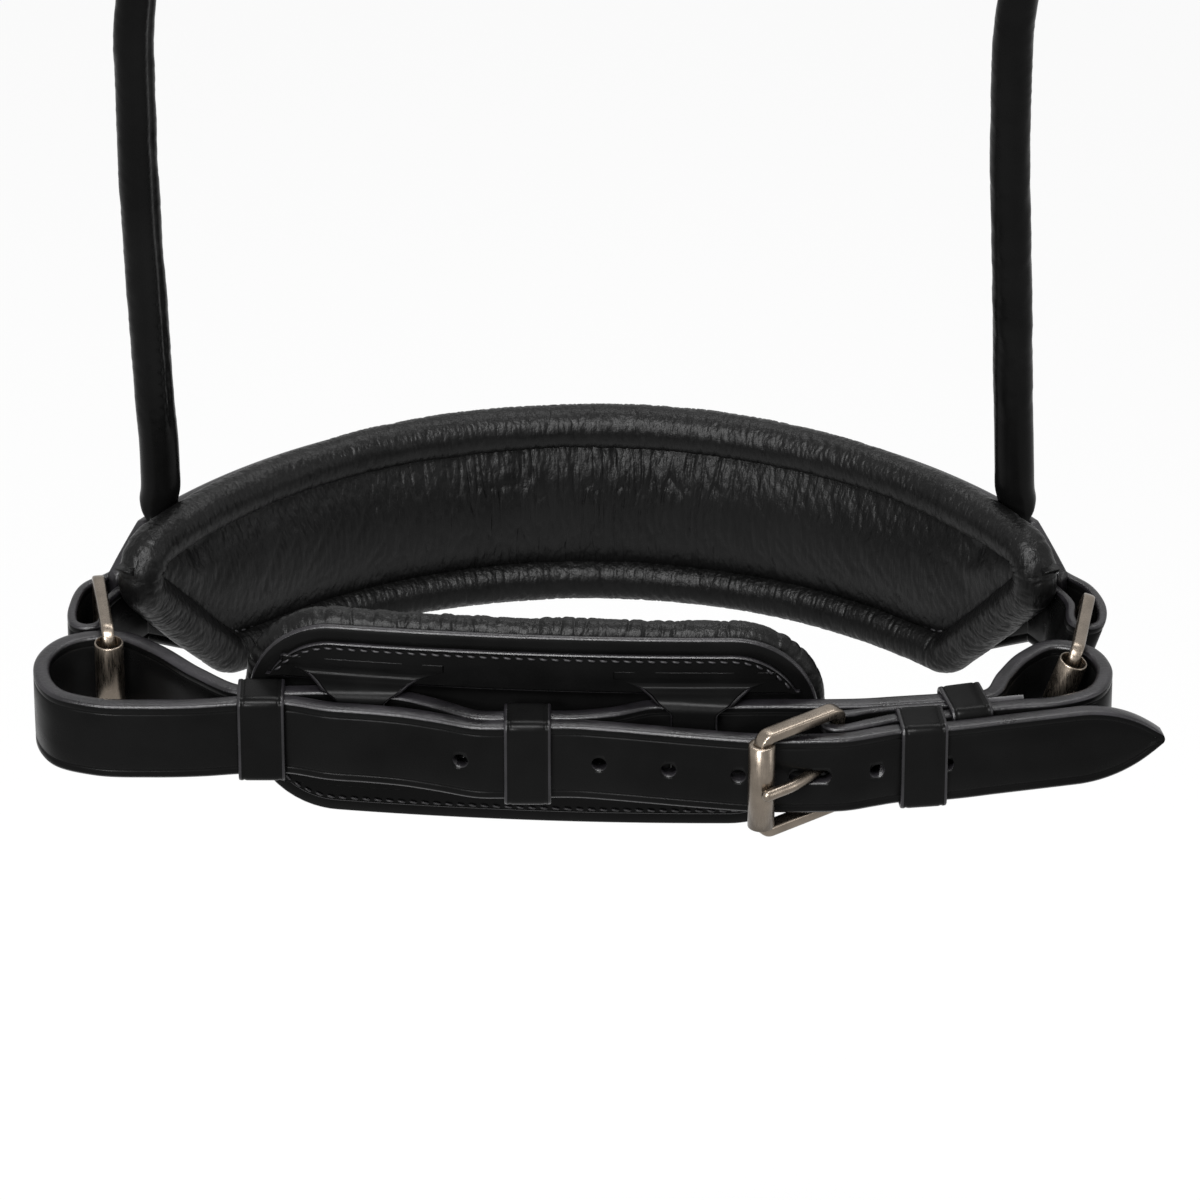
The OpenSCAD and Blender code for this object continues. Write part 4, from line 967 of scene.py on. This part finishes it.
# ---- keepers ----
def keeper_loft(name, outline, width, axes, centre, at, seed):
    """Loop of thin leather round its outline, the middle line across the strap.
    The axes are the outline's two directions and the strap's."""
    u_axis, v_axis, w_axis = (np.asarray(a, float) for a in axes)
    path = respaced(outline, 0.4, closed=True)
    centre_line = np.asarray(centre) + path[:, :1] * u_axis + path[:, 1:] * v_axis
    t = tangents(centre_line, closed=True)
    outward = np.cross(t, w_axis)
    if np.sum(outward * (centre_line - centre_line.mean(0))) < 0:
        outward = -outward
    wave = 0.09 * value_noise(np.arange(len(path)) / 16, 0, seed)
    section, edges = strap_section(-width / 2, width / 2, KEEPER_T, inset=1.35, depth=0.17)
    grid = sweep(centre_line + outward * wave[:, None], outward, w_axis, section)
    return loft(name, grid, edged(), at, closed=True, column_material=edges)


def leg_keeper(name, node, x0, x1, y_front, y_back, gap, body="noseband", place=None):
    """Keeper round the legs of the crank strap; y_front and y_back are the faces that it goes round."""
    g, h = gap + KEEPER_T / 2, STRAP_W / 2
    corners = [(y_front - g, -h - g), (y_back + g, -h - g), (y_back + g, h + g), (y_front - g, h + g)]
    origin, turn = place or ((0, 0), 0)
    x_axis = np.array([cos(turn), sin(turn), 0])
    y_axis = np.array([-sin(turn), cos(turn), 0])
    centre = np.array([origin[0], origin[1], 0]) + x_axis * (x0 + x1) / 2
    made = keeper_loft(name, round_corners(corners, 1.7, 5), x1 - x0, (y_axis, (0, 0, 1), x_axis), centre,
                       NOSE_ORIGIN, len(name))
    seat(made, body, "bridle_leather", node)


def build_keepers():
    t = STRAP_T
    leg_keeper("left_keeper_loop", "left_keeper", -82, -82 + KEEPER_W, INNER_KEEPER_Y - LEG - t / 2 - 0.5,
               INNER_KEEPER_Y + t / 2 + 0.5, 0.3)
    leg_keeper("middle_keeper_loop", "middle_keeper", -14 - KEEPER_W / 2, -14 + KEEPER_W / 2,
               OUTER_MID_Y - t / 2 - 0.3, INNER_MID_Y + t / 2 + 0.3, 0.3, "middle_keeper")
    leg_keeper("buckle_keeper_loop", "buckle_keeper", -KEEPER_W / 2, KEEPER_W / 2, TIP_LEG_Y - STACK_Y - t / 2 - 0.35,
               CHAPE_LEG_T / 2 + 0.05, 0.2, place=((77.5, STACK_Y), 7.3))
    leg_keeper("right_keeper_loop", "right_keeper", -5, 5, -CHAPE_LEG_T / 2 - 3.2,
               INNER_STACK_Y - STACK_Y - 5.35 + 1.6 + t / 2 + 0.9, 0.3, place=((88.5, STACK_Y + 5.35), 13.7))


# ---- crank buckle ----
def domed(points, radius):
    """Line with extra rows at its end, and its radii, which close there in a dome."""
    last = unit(points[-1] - points[-2])
    tail = [points[-1] - last * step for step in (radius * (1 - np.linspace(0.985, 0, 7)[:-1]))[::-1]]
    rows = np.array([p for p in points if np.linalg.norm(p - points[-1]) > radius * 1.05] + tail)
    d = np.clip(np.linalg.norm(rows - points[-1], axis=1), 0, radius)
    return rows, np.minimum(radius, np.sqrt(np.clip(radius**2 - (radius - d) ** 2, 0, None)) + 0.03)


def tongue_grid(bar, bend, tip, radius, sides):
    """Round bar of a tongue, from beside its eye to its domed point."""
    bend, tip = np.array(bend), np.array(tip)
    start = bar + unit(bend - bar) * 2.0
    rows = [start, 0.6 * start + 0.4 * bend, 0.15 * start + 0.85 * bend, 0.85 * bend + 0.15 * tip,
            0.4 * bend + 0.6 * tip, tip]
    line, radii = domed(smooth(np.column_stack([rows, np.zeros(len(rows))]), 8), radius)
    return sweep(line, unit(np.cross(tangents(line), UP)), UP, round_section(radii, radii, sides=sides))


def build_crank_buckle():
    frame_grid = in_plan(wire_square(BUCKLE_L, BUCKLE_ARM_Z, 2.4, (1.4, 2.0), BAR_R), CHAPE_BAR, BUCKLE_DIR)
    steel_piece("crank_buckle_wire", frame_grid, "crank_buckle", "crank_buckle_frame")
    wall = ROLLER_R - BAR_R - 0.08
    roller = tube_grid(ROLLER_R, wall, 2 * BUCKLE_ARM_Z - 3.4) + [ROLLER_BAR[0], ROLLER_BAR[1], 0]
    steel_piece("crank_buckle_roller", roller, "crank_roller", "crank_roller")
    bend, tip = (48.5, -83.2), (ROLLER_BAR[0] + 0.2, ROLLER_BAR[1] - (ROLLER_R + TONGUE_R + 0.06) - 0.9)
    steel_piece("crank_buckle_tongue", tongue_grid(CHAPE_BAR, bend, tip, TONGUE_R, 24), "crank_tongue",
                "crank_tongue", closed=False)
    eye = tube_grid(BAR_R + 1.08, 1.0, 3.0) + [CHAPE_BAR[0], CHAPE_BAR[1], 0]
    steel_piece("crank_tongue_eye", eye, "crank_tongue")


# ---- chin pad ----
def chin_place(points):
    """Puts points drawn about the pad's own middle into the noseband's place."""
    return turned(points, (0, 0, 0), (0, 0, 1), CHIN_TURN) + [CHIN_AT[0], CHIN_AT[1], 0]


def chin_outline(inset, step=0.8):
    hx, hz = CHIN_L / 2 - inset, CHIN_H / 2 - inset
    return respaced(round_corners([(x * hx, z * hz) for x, z in RECTANGLE], max(CHIN_CORNER - inset, 2), 14), step,
                    closed=True)


def plate(name, outline, front, back, materials, edge_r=0.45, bulge=None):
    """Sheet of leather between two depths behind the pad's front line, with rounded edges.
    Its rings run in from the outline to a middle line."""
    spine = max(np.abs(outline[:, 0]).max() - np.abs(outline[:, 1]).max(), 0)
    middle = np.column_stack([np.clip(outline[:, 0], -spine, spine), np.zeros(len(outline))])
    reach = np.linalg.norm(outline - middle, axis=1)[:, None]
    thick = back - front
    shares = [(edge_r, 0), (edge_r * 0.3, 0.18), (0, 0.5), (edge_r * 0.3, 0.82), (edge_r, 1)]
    inside = [3, 6, 10, 15, 20, 24, 200]
    rings = [(inset, 0.0) for inset in inside[::-1]] + shares + [(inset, 1.0) for inset in inside]
    flags = [0] * len(inside) + [1] * len(shares) + [0] * len(inside)
    grid = []
    for inset, share in rings:
        flat = middle + (outline - middle) * np.clip(1 - inset / reach, 0.004, 1)
        depth = chin_front(flat[:, 0]) + front + thick * share
        if bulge is not None:
            depth = depth + bulge(flat, share)
        grid.append(np.column_stack([flat[:, 0], depth, flat[:, 1]]))
    return loft(name, chin_place(np.array(grid)), materials, NOSE_ORIGIN, row_material=flags)


def build_chin_backing():
    made = plate("chin_backing_leather", chin_outline(1.5), 0, BACKING_T, edged(), 0.5)
    seat(made, "chin_pad", "bridle_leather", "chin_backing")


def build_chin_roll():
    depth = BACKING_T + 0.3 + CHIN_ROLL_R
    outline = respaced(chin_outline(CHIN_ROLL_R, 0.4), 0.3, closed=True)
    centre = np.column_stack([outline[:, 0], chin_front(outline[:, 0]) + depth - 0.4, outline[:, 1]])
    t = tangents(centre, closed=True)
    back = np.array([0.0, 1, 0])
    side = unit(np.cross(t, back))
    if np.sum(side * centre * [1, 0, 1]) < 0:
        side = -side
    at, full = lengths(centre, closed=True)
    sides = 34
    around = circle(sides)
    s = at[:, None]
    fold = wrinkles(s / 1.5, np.cos(around)[None] * 0.9, 71)
    pleats = np.clip(1 - 2.2 * np.abs(value_noise(s / 2.6, np.cos(around)[None] * 0.5, 81)), 0, 1)
    slow = value_noise(s / 15, np.cos(around)[None] * 0.5, 82) * 0.35
    joined = ease(np.minimum(s, full - s), 0, 4)
    radius = CHIN_ROLL_R + 0.1 + joined * (slow - 0.25 * (1 - fold) - 0.4 * pleats**2)
    grid = chin_place(ring_grid(centre, radius, around, side[:, None], back * 0.96))
    made = loft("chin_edge_roll_nappa", grid, [nappa_leather()], NOSE_ORIGIN, closed=True)
    seat(made, "chin_pad", "nappa_leather", "chin_edge_roll", "chin_edge_cord")


def build_chin_panel():
    depth = BACKING_T + 0.3
    full = CHIN_ROLL_R * 2 - 0.6

    def bulge(flat, share):
        rim = np.minimum(CHIN_L / 2 - 7.4 - np.abs(flat[:, 0]), CHIN_H / 2 - 7.4 - np.abs(flat[:, 1]))
        crown = (ease(rim, 0, 9) - 1) * 3.2 + 0.35 * value_noise(flat[:, 0] / 12, flat[:, 1] / 9, 91)
        return share * (crown - 0.25 * (1 - wrinkles(flat[:, 0] / 3, flat[:, 1] / 9, 93)))

    made = plate("chin_panel_nappa", chin_outline(7.0, 0.6), depth, depth + full,
                 [nappa_leather(), nappa_leather()], 0.8, bulge)
    seat(made, "chin_pad", "nappa_leather", "chin_foam", "chin_lining")


def build_chin_overlay():
    """Bands along the pad's top and bottom, joined by two narrow bridges.
    The bridges have hollow sides and pass over the strap."""
    leather = edged()
    inset, z0 = OVERLAY_INSET, STRAP_W / 2 + 1.5
    hx, hz = CHIN_L / 2 - inset, CHIN_H / 2 - inset
    corner = CHIN_CORNER - inset
    for s, tag in ((1, "top"), (-1, "bottom")):
        x = np.linspace(-hx + 0.6, hx - 0.6, 260)
        past = np.clip(np.abs(x) - (hx - corner), 0, corner)
        top = hz - corner + np.sqrt(np.maximum(corner**2 - past**2, 0))
        top = np.maximum(top, z0 + 0.6)
        low, high = (z0, top) if s > 0 else (-top, -z0)
        depth = chin_front(x) - OVERLAY_GAP - OVERLAY_T / 2
        centre = np.column_stack([x, depth, np.zeros(len(x))])
        t = tangents(centre)
        outward = np.column_stack([t[:, 1], -t[:, 0], np.zeros(len(t))])
        section, edges = strap_section(low, high, OVERLAY_T, inset=1.0, depth=0.0)
        grid = sweep(centre, outward, UP, section)
        made = loft(f"chin_overlay_{tag}", chin_place(grid), leather, NOSE_ORIGIN, column_material=edges)
        seat(made, "chin_pad", "bridle_leather", *(["chin_overlay"] if s > 0 else []))
        row = np.column_stack([x, chin_front(x) - OVERLAY_GAP - OVERLAY_T - 0.02, s * (top - 1.3)])[6:-6]
        forward = unit(chin_place([0, -1, 0]) - chin_place([0, 0, 0]))
        stitches(f"chin_overlay_stitches_{tag}", chin_place(row), np.tile(forward, (len(row), 1)),
                 NOSE_ORIGIN, "chin_pad", sink=0.05)
    for tag, bx in zip(("left", "right"), BRIDGE_X):
        lift = OVERLAY_GAP + BRIDGE_CLEAR + OVERLAY_T / 2
        base = OVERLAY_GAP + OVERLAY_T / 2
        d0 = float(chin_front(abs(bx) - BRIDGE_W / 2))
        side_line = [(17.5, base + 0.04), (16, base + 0.05), (14.4, base + 0.06), (13.3, base + 0.45),
                     (12.3, base + 2.0), (11.2, lift - 0.9), (10, lift - 0.14), (7, lift)]
        outline = [(-z, d0 - y) for z, y in side_line] + [(0, d0 - lift)] + [(z, d0 - y) for z, y in side_line[::-1]]
        line = smooth([(z, y, 0) for z, y in outline], 8)
        centre = np.column_stack([np.full(len(line), bx), line[:, 1], line[:, 0]])
        t = tangents(centre)
        outward = np.cross(t, [1.0, 0, 0])
        if outward[len(outward) // 2][1] > 0:
            outward = -outward
        half = BRIDGE_W / 2 + 8 * np.minimum(np.clip((np.abs(line[:, 0]) - 9) / 4.3, 0, 2) ** 1.3, 1.75)
        section, edges = strap_section(-half, half, OVERLAY_T * 0.98, inset=0.9, depth=0.0)
        grid = sweep(centre, outward, np.array([1.0, 0, 0]), section)
        # the feet follow the pad's curve
        foot = ease(np.abs(grid[..., 2]), 11, 14)
        grid[..., 1] += foot * (chin_front(grid[..., 0]) - d0)
        made = loft(f"chin_bridge_{tag}", chin_place(grid), leather, NOSE_ORIGIN, column_material=edges)
        seat(made, "chin_pad", "bridle_leather")


# ---- cheeks ----
def build_cheek(side):
    """Rolled cheek: leather sewn round a cord.
    It is flat where it is sewn in under the nosepiece strap and where it meets the strap above."""
    s = -1 if side == "left" else 1
    z_low = -RISE - HINGE_Z
    # z, distance from the nose's middle, half size towards the nose, half size across, shape power
    rows = [(z_low + z, *shape) for z, *shape in (
        (6, 129.35, 1.05, 7.2, 4.5), (14, 129.35, 1.05, 6.8, 4.0), (19, 129.4, 1.1, 6.2, 3.2),
        (20.8, 129.6, 1.3, 5.7, 2.8), (22.8, 131.1, 3.0, 5.3, 2.4), (24.8, 131.3, 4.3, 5.0, 2.1),
        (28, 130.7, CHEEK_R, 4.8, 2.0))]
    rows += [(z, CHEEK_RING_R, CHEEK_R, CHEEK_R, 2.0) for z in (*(z_low + np.array([34, 60, 100, 140])), -260)]
    rows.append((-248, CHEEK_RING_R, 4.6, 4.85, 2.0))
    low = respaced(smooth([(r - CHEEK_RING_R, z, *shape) for z, r, *shape in rows], 24), 0.8)
    radial = away(on_nose(1, s * CHEEK_A))
    tangent = np.array([radial[1], -radial[0], 0])
    centre = np.array([s * CHEEK_X, 0, 0]) + low[:, :1] * radial + low[:, 1:2] * UP
    # a little wobble, as hand-rolled leather has
    calm = ease(low[:, 1], -395, -380) * (1 - ease(low[:, 1], -262, -250))
    bow = CHEEK_BOW * ease(low[:, 1], -415, -310) * (1 - ease(low[:, 1], -290, -250))
    centre[:, 0] += calm * 0.35 * value_noise(low[:, 1] / 38, 0, 100 + s) - bow
    centre[:, 1] += calm * 0.35 * value_noise(low[:, 1] / 33, 0, 110 + s)
    sides = 40
    section = round_section(low[:, 2], low[:, 3], low[:, 4], sides)
    around = np.arange(sides) * 360 / sides
    seam_a = 205 if s < 0 else 335
    gap = (around - seam_a + 180) % 360 - 180
    ridge = 0.75 * np.exp(-(gap / 12) ** 2) - 0.28 * np.exp(-((np.abs(gap) - 26) / 8) ** 2)
    z = low[:, 1][:, None]
    pulled = 1 + 0.22 * np.sin(z * 2 * math.pi / 3.1)
    round_u, round_v = cos(around)[None] * 1.6, sin(around)[None] * 1.6
    skin = (0.12 * value_noise(z / 6 + round_v, round_u, 120 + s)
            + 0.07 * value_noise(z / 1.3 + round_v, round_u * 2, 130 + s))
    swell = 1 + (ridge[None] * pulled + skin) * calm[:, None] / CHEEK_R
    section = section * swell[..., None]
    # above, the roll opens out flat to become the strap
    up = [(-244, 4.2, 5.2, 2.1), (-240, 3.2, 6.4, 2.5), (-236, 2.2, 7.5, 3.2), (-232, 1.75, 8.0, 5.0),
          (-227, 1.7, 8.05, 6.0)]
    grid = sweep(centre, radial, tangent, section)
    flat = smooth([(0, r[0], r[1], r[2], r[3]) for r in [(-248, 4.6, 4.85, 2.0)] + up], 6)[1:]
    share = ease(flat[:, 1], -248, -236)[:, None]
    thick_axis = unit(radial * (1 - share) + np.array([s * 1.0, 0, 0]) * share)
    wide_axis = -np.cross(UP, thick_axis)
    wide_axis *= np.sign(np.sum(wide_axis * tangent, axis=1))[:, None]
    upper = sweep(np.array([s * CHEEK_X, 0, 0]) + flat[:, 1:2] * UP, thick_axis, wide_axis,
                  round_section(flat[:, 2], flat[:, 3], flat[:, 4], sides))
    made = loft(f"{side}_cheek_leather", np.concatenate([grid, upper]), [bridle_leather()])
    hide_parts(f"{side}_cheek_roll", f"{side}_cheek_cord", f"{side}_cheek_tab")
    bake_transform(made)


# ---- crown ----
def crown_rows():
    mid_z = -(CHEEK_X - CROWN_T / 2)
    top, bar = CROWN_TOP_BAR[1], CROWN_BAR[1]
    rows = [(CHEEK_X, z) for z in (ROLL_TOP_Z, -190, -150, -120)]
    rows += [(CHEEK_X * cos(a), mid_z + CHEEK_X * sin(a)) for a in range(0, 181, 12)]
    rows += [(-CHEEK_X, -116), (-CHEEK_X, top), (-CHEEK_X - 1.4, top - 8)]
    rows += [(CROWN_OUT_X + 0.7, bar + 3), (CROWN_OUT_X, bar - 2), (CROWN_OUT_X + 0.4, bar - 8)]
    rows += [(CROWN_LOW_X, z) for z in (bar - 18, -180, CROWN_TIP_Z, -217.4)]
    return [(x, z, CROWN_T) for x, z in rows]


def build_crown_strap():
    line = respaced(smooth(crown_rows(), 10), 1.2)
    at, full = lengths(line[:, :2])
    half = pointed_half(at - (full - 13), 13, CROWN_W, 12)
    made = side_ribbon("crown_strap_leather", line, CROWN_W, narrow=half)
    tools = [punch((CROWN_LOW_X, 0, CROWN_HOLE_Z - k * CROWN_HOLE_PITCH), (1, 0, 0), 1.6, 6) for k in (1, 2, 3)]
    tools.append(punch((-CHEEK_X, 0, CROWN_HOLE_Z + CROWN_HOLE_PITCH), (1, 0, 0), 1.6, 6))
    slot = round_corners([(-1.6, -5.0), (1.6, -5.0), (1.6, 6.6), (-1.6, 6.6)], 1.55, 5)
    tools.append(opening([[(x - CHEEK_X, y, CROWN_HOLE_Z + z) for y, z in slot] for x in (-7.5, 2.6)]))
    cut(made, tools)
    seat(made, "head_strap", "bridle_leather", "crown_strap")


def build_cheek_chape():
    rows = [(x - CHEEK_X, z, k) for x, z, k in [(1.6, -196, 1.4), (1.4, -180, 2), (1.5, -163, 2), (2.2, -154, 2.2)]]
    rows += [(CROWN_BAR[0] + CROWN_FOLD_R * cos(a), CROWN_BAR[1] + CROWN_FOLD_R * sin(a), CROWN_FOLD_T)
             for a in range(-15, 196, 30)]
    rows.append((-CHEEK_X - 2.4, -154, 2.2))
    rows += [(CHAPE_OUT_X + x, z, CHAPE_OUT_T) for x, z in [(0, -163), (0, -185), (0.3, -205)]]
    rows += [(-CHEEK_X, ROLL_TOP_Z + z, 3) for z in (12, 6, 0)]
    line = respaced(smooth(rows, 10), 0.8)
    made = side_ribbon("cheek_chape_leather", line, CROWN_W)
    corners = [(x * 6 + CROWN_BAR[0], y * 2.0) for x, y in RECTANGLE]
    cut(made, [opening([[(x, y, CROWN_BAR[1] + z) for x, y in corners] for z in (-5, 7)])])
    seat(made, "head_strap", "bridle_leather", "cheek_chape")
    z = np.linspace(-172, -222, 40)
    for s, tag in ((1, "front"), (-1, "back")):
        face = [-CHEEK_X - 1.55, CHAPE_OUT_X - 0.92, CHAPE_OUT_X - 1.22, CHAPE_OUT_X - 1.22]
        path = np.column_stack([np.interp(z, [-222, -205, -185, -163], face), np.full(len(z), s * 6.0), z])
        stitches(f"chape_stitches_{tag}", path, np.tile([-1.0, 0, 0], (len(z), 1)), (0, 0, 0), "head_strap")


def stand_up(points):
    """Turns points drawn from above so that their y becomes height and their z runs back."""
    return np.stack([points[..., 0], -points[..., 2], points[..., 1]], -1)


def build_crown_buckle():
    direction = unit(CROWN_TOP_BAR - CROWN_BAR)
    length = float(np.linalg.norm(CROWN_TOP_BAR - CROWN_BAR))
    grid = in_plan(wire_square(length, CROWN_ARM_Y, 2.2, (1.3, 1.6), CROWN_BAR_R), CROWN_BAR, direction)
    steel_piece("crown_buckle_wire", stand_up(grid), "crown_buckle", "crown_buckle_frame", at=(0, 0, 0))
    bend = (CROWN_TOP_BAR[0] - 2.4, CROWN_BAR[1] + 12.5)
    tip = (CROWN_TOP_BAR[0] - CROWN_BAR_R - CROWN_TONGUE_R - 0.1, CROWN_TOP_BAR[1] + 1.2)
    grid = tongue_grid(CROWN_BAR, bend, tip, CROWN_TONGUE_R, 20)
    steel_piece("crown_buckle_tongue", stand_up(grid), "crown_tongue", "crown_tongue", at=(0, 0, 0), closed=False)
    eye = stand_up(tube_grid(CROWN_BAR_R + 0.98, 0.9, 2.6) + [CROWN_BAR[0], CROWN_BAR[1], 0])
    steel_piece("crown_tongue_eye", eye, "crown_tongue", at=(0, 0, 0))


def build_crown_keepers():
    x_in, x_out = -CHEEK_X + 2.7, CROWN_LOW_X - CROWN_T / 2
    g, h = 0.3 + KEEPER_T / 2, CROWN_W / 2
    outline = round_corners([(x_out - g, -h - g), (x_in + g, -h - g), (x_in + g, h + g), (x_out - g, h + g)], 1.6, 5)
    for name, z, body in (("crown_keeper_fixed", -166, "head_strap"),
                          ("crown_keeper_sliding", -189, "crown_keeper_sliding")):
        made = keeper_loft(name + "_loop", outline, 8.0, ((1, 0, 0), (0, 1, 0), (0, 0, 1)), (0, 0, z), (0, 0, 0),
                           len(name))
        seat(made, body, "bridle_leather", name)


# ---- stage ----
def background_rays(tree):
    """1 for the rays that show the background: from the camera, and off or through a surface."""
    rays = add_node(tree, "LightPath").outputs
    mirrored = add_node(tree, "Math", {0: rays["Is Camera Ray"], 1: rays["Is Glossy Ray"]},
                        operation="MAXIMUM").outputs[0]
    return add_node(tree, "Math", {0: mirrored, 1: rays["Is Transmission Ray"]}, operation="MAXIMUM").outputs[0]


def build_stage():
    scene = bpy.context.scene
    target = np.array([CAMERA_AIM_X, NOSE_ORIGIN[1], NOSE_ORIGIN[2]]) * MM
    ahead = np.array([0, cos(CAMERA_DROP), -sin(CAMERA_DROP)])
    camera = bpy.data.objects.new("camera", bpy.data.cameras.new("camera"))
    scene.collection.objects.link(camera)
    camera.location = Vector(target - ahead * CAMERA_DISTANCE)
    camera.rotation_mode = "QUATERNION"
    camera.rotation_quaternion = Vector(ahead).to_track_quat("-Z", "Y")
    camera.data.sensor_width = 36
    camera.data.lens = CAMERA_LENS
    camera.data.clip_end = 60
    scene.camera = camera

    # the headpiece hangs from the poll, well clear of a plain pale floor
    floor_z = CAD_BOX[0][2] / MM - FLOOR_DROP
    corners = [(x * FLOOR_REACH, y * FLOOR_REACH, floor_z) for x, y in RECTANGLE]
    floor = make_mesh("studio_floor", corners, [[0, 1, 2, 3]], [floor_paint()])

    world = bpy.data.worlds.new("studio")
    scene.world = world
    world.use_nodes = True
    tree = world.node_tree
    background = tree.nodes["Background"]
    background.inputs["Color"].default_value = (1, 1, 1, 1)
    strength = add_node(tree, "MapRange", {"Value": background_rays(tree), "To Min": WORLD_LIGHT, "To Max": 1.0})
    tree.links.new(strength.outputs[0], background.inputs["Strength"])

    # softboxes: where, where they point, width, height, power
    for name, where, aim, wide, tall, power in (
            ("key_softbox", (-0.5, -1.25, 0.12), (0, 0, -0.43), 0.4, 0.25, 18),
            ("high_softbox", (-0.1, -0.65, 0.4), (0, 0, -0.43), 0.6, 0.3, 19),
            ("side_softbox", (1.1, -0.35, -0.1), (0, 0, -0.42), 0.2, 0.6, 2),
            ("top_softbox", (0.15, 0.4, 0.55), (0, -0.03, -0.42), 0.8, 0.3, 8)):
        light = bpy.data.lights.new(name, "AREA")
        light.shape, light.size, light.size_y, light.energy = "RECTANGLE", wide, tall, power
        obj = bpy.data.objects.new(name, light)
        scene.collection.objects.link(obj)
        obj.location = where
        obj.rotation_mode = "QUATERNION"
        obj.rotation_quaternion = (Vector(aim) - Vector(where)).to_track_quat("-Z", "Y")
    scene.view_settings.view_transform = "Standard"


@finish("Matt studio paint")
def floor_paint(tree, shader, where):
    """Floor: matt white studio paint, lifted to white where the camera or a mirror sees it, with the shadow kept."""
    mottle = noise(tree, where, 400, 2.0)
    base = colours().floor
    set_sockets(tree, shader, Base_Color=shades(tree, mottle, base, 0.985, 1.0),
                Roughness=0.9, Specular_IOR_Level=0.1)
    share = add_node(tree, "Math", {0: background_rays(tree), 1: FLOOR_GLOW}, operation="MULTIPLY")
    glow = add_node(tree, "Emission", {"Color": (1, 1, 1, 1), "Strength": 1.0})
    mixed = add_node(tree, "MixShader", {0: share.outputs[0], 1: shader.outputs[0], 2: glow.outputs[0]})
    tree.links.new(mixed.outputs[0], tree.nodes["Material Output"].inputs["Surface"])


# ---- operators ----
class NosebandPiece:
    bl_options = {"REGISTER", "UNDO"}
    steps = ()

    def execute(self, context):
        for step, *arguments in self.steps:
            step(*arguments)
        return {"FINISHED"}


class TACK_OT_stage(NosebandPiece, bpy.types.Operator):
    """Adds the camera, the soft lights and the floor"""
    bl_idname = "tack.stage"
    bl_label = "Stage"
    steps = ((build_stage,),)


class TACK_OT_nosepiece(NosebandPiece, bpy.types.Operator):
    """Adds the padded nosepiece: lining, edge roll, seams and outer strap"""
    bl_idname = "tack.nosepiece"
    bl_label = "Nosepiece"
    steps = ((build_nose_roll,), (build_nose_panel,), (build_nose_seams,), (build_nose_outer,))


class TACK_OT_rings(NosebandPiece, bpy.types.Operator):
    """Adds the ring tabs, the squares and their loose tubes"""
    bl_idname = "tack.rings"
    bl_label = "Rings"
    steps = ((build_ring_tab, "left"), (build_ring_tab, "right"), (build_square, "left"), (build_square, "right"))


class TACK_OT_crank_strap(NosebandPiece, bpy.types.Operator):
    """Adds the doubled crank strap"""
    bl_idname = "tack.crank_strap"
    bl_label = "Crank strap"
    steps = ((build_crank_strap,),)


class TACK_OT_keepers(NosebandPiece, bpy.types.Operator):
    """Adds the keepers of the crank strap"""
    bl_idname = "tack.keepers"
    bl_label = "Keepers"
    steps = ((build_keepers,),)


class TACK_OT_crank_buckle(NosebandPiece, bpy.types.Operator):
    """Adds the roller buckle"""
    bl_idname = "tack.crank_buckle"
    bl_label = "Crank buckle"
    steps = ((build_crank_buckle,),)


class TACK_OT_chin_pad(NosebandPiece, bpy.types.Operator):
    """Adds the chin pad with its bridges"""
    bl_idname = "tack.chin_pad"
    bl_label = "Chin pad"
    steps = ((build_chin_backing,), (build_chin_roll,), (build_chin_panel,), (build_chin_overlay,))


class TACK_OT_cheeks(NosebandPiece, bpy.types.Operator):
    """Adds the two rolled cheeks"""
    bl_idname = "tack.cheeks"
    bl_label = "Cheeks"
    steps = ((build_cheek, "left"), (build_cheek, "right"))


class TACK_OT_crown(NosebandPiece, bpy.types.Operator):
    """Adds the crown strap, its chape, buckle and keepers"""
    bl_idname = "tack.crown"
    bl_label = "Crown"
    steps = ((build_crown_strap,), (build_cheek_chape,), (build_crown_buckle,), (build_crown_keepers,))


OPERATORS = (TACK_OT_stage, TACK_OT_nosepiece, TACK_OT_rings, TACK_OT_crank_strap,
             TACK_OT_keepers, TACK_OT_crank_buckle,
             TACK_OT_chin_pad, TACK_OT_cheeks, TACK_OT_crown)


class TACK_PT_noseband(bpy.types.Panel):
    """Lists the pieces of the noseband"""
    bl_idname = "TACK_PT_noseband"
    bl_label = "Noseband"
    bl_space_type = "VIEW_3D"
    bl_region_type = "UI"
    bl_category = "Noseband"

    def draw(self, context):
        for group in (context.scene.bridle_sizes, context.scene.bridle_colours):
            for key in group.__annotations__:
                self.layout.prop(group, key)
        for operator in OPERATORS:
            self.layout.operator(operator.bl_idname)


CLASSES = (BridleSizes, BridleColours, *OPERATORS, TACK_PT_noseband)


def register():
    for item in CLASSES:
        bpy.utils.register_class(item)
    bpy.types.Scene.bridle_sizes = bpy.props.PointerProperty(type=BridleSizes)
    bpy.types.Scene.bridle_colours = bpy.props.PointerProperty(type=BridleColours)


def unregister():
    del bpy.types.Scene.bridle_sizes
    del bpy.types.Scene.bridle_colours
    for item in reversed(CLASSES):
        bpy.utils.unregister_class(item)


def main():
    register()
    for operator in OPERATORS:
        group, name = operator.bl_idname.split(".")
        getattr(getattr(bpy.ops, group), name)()


if __name__ == "__main__":
    main()
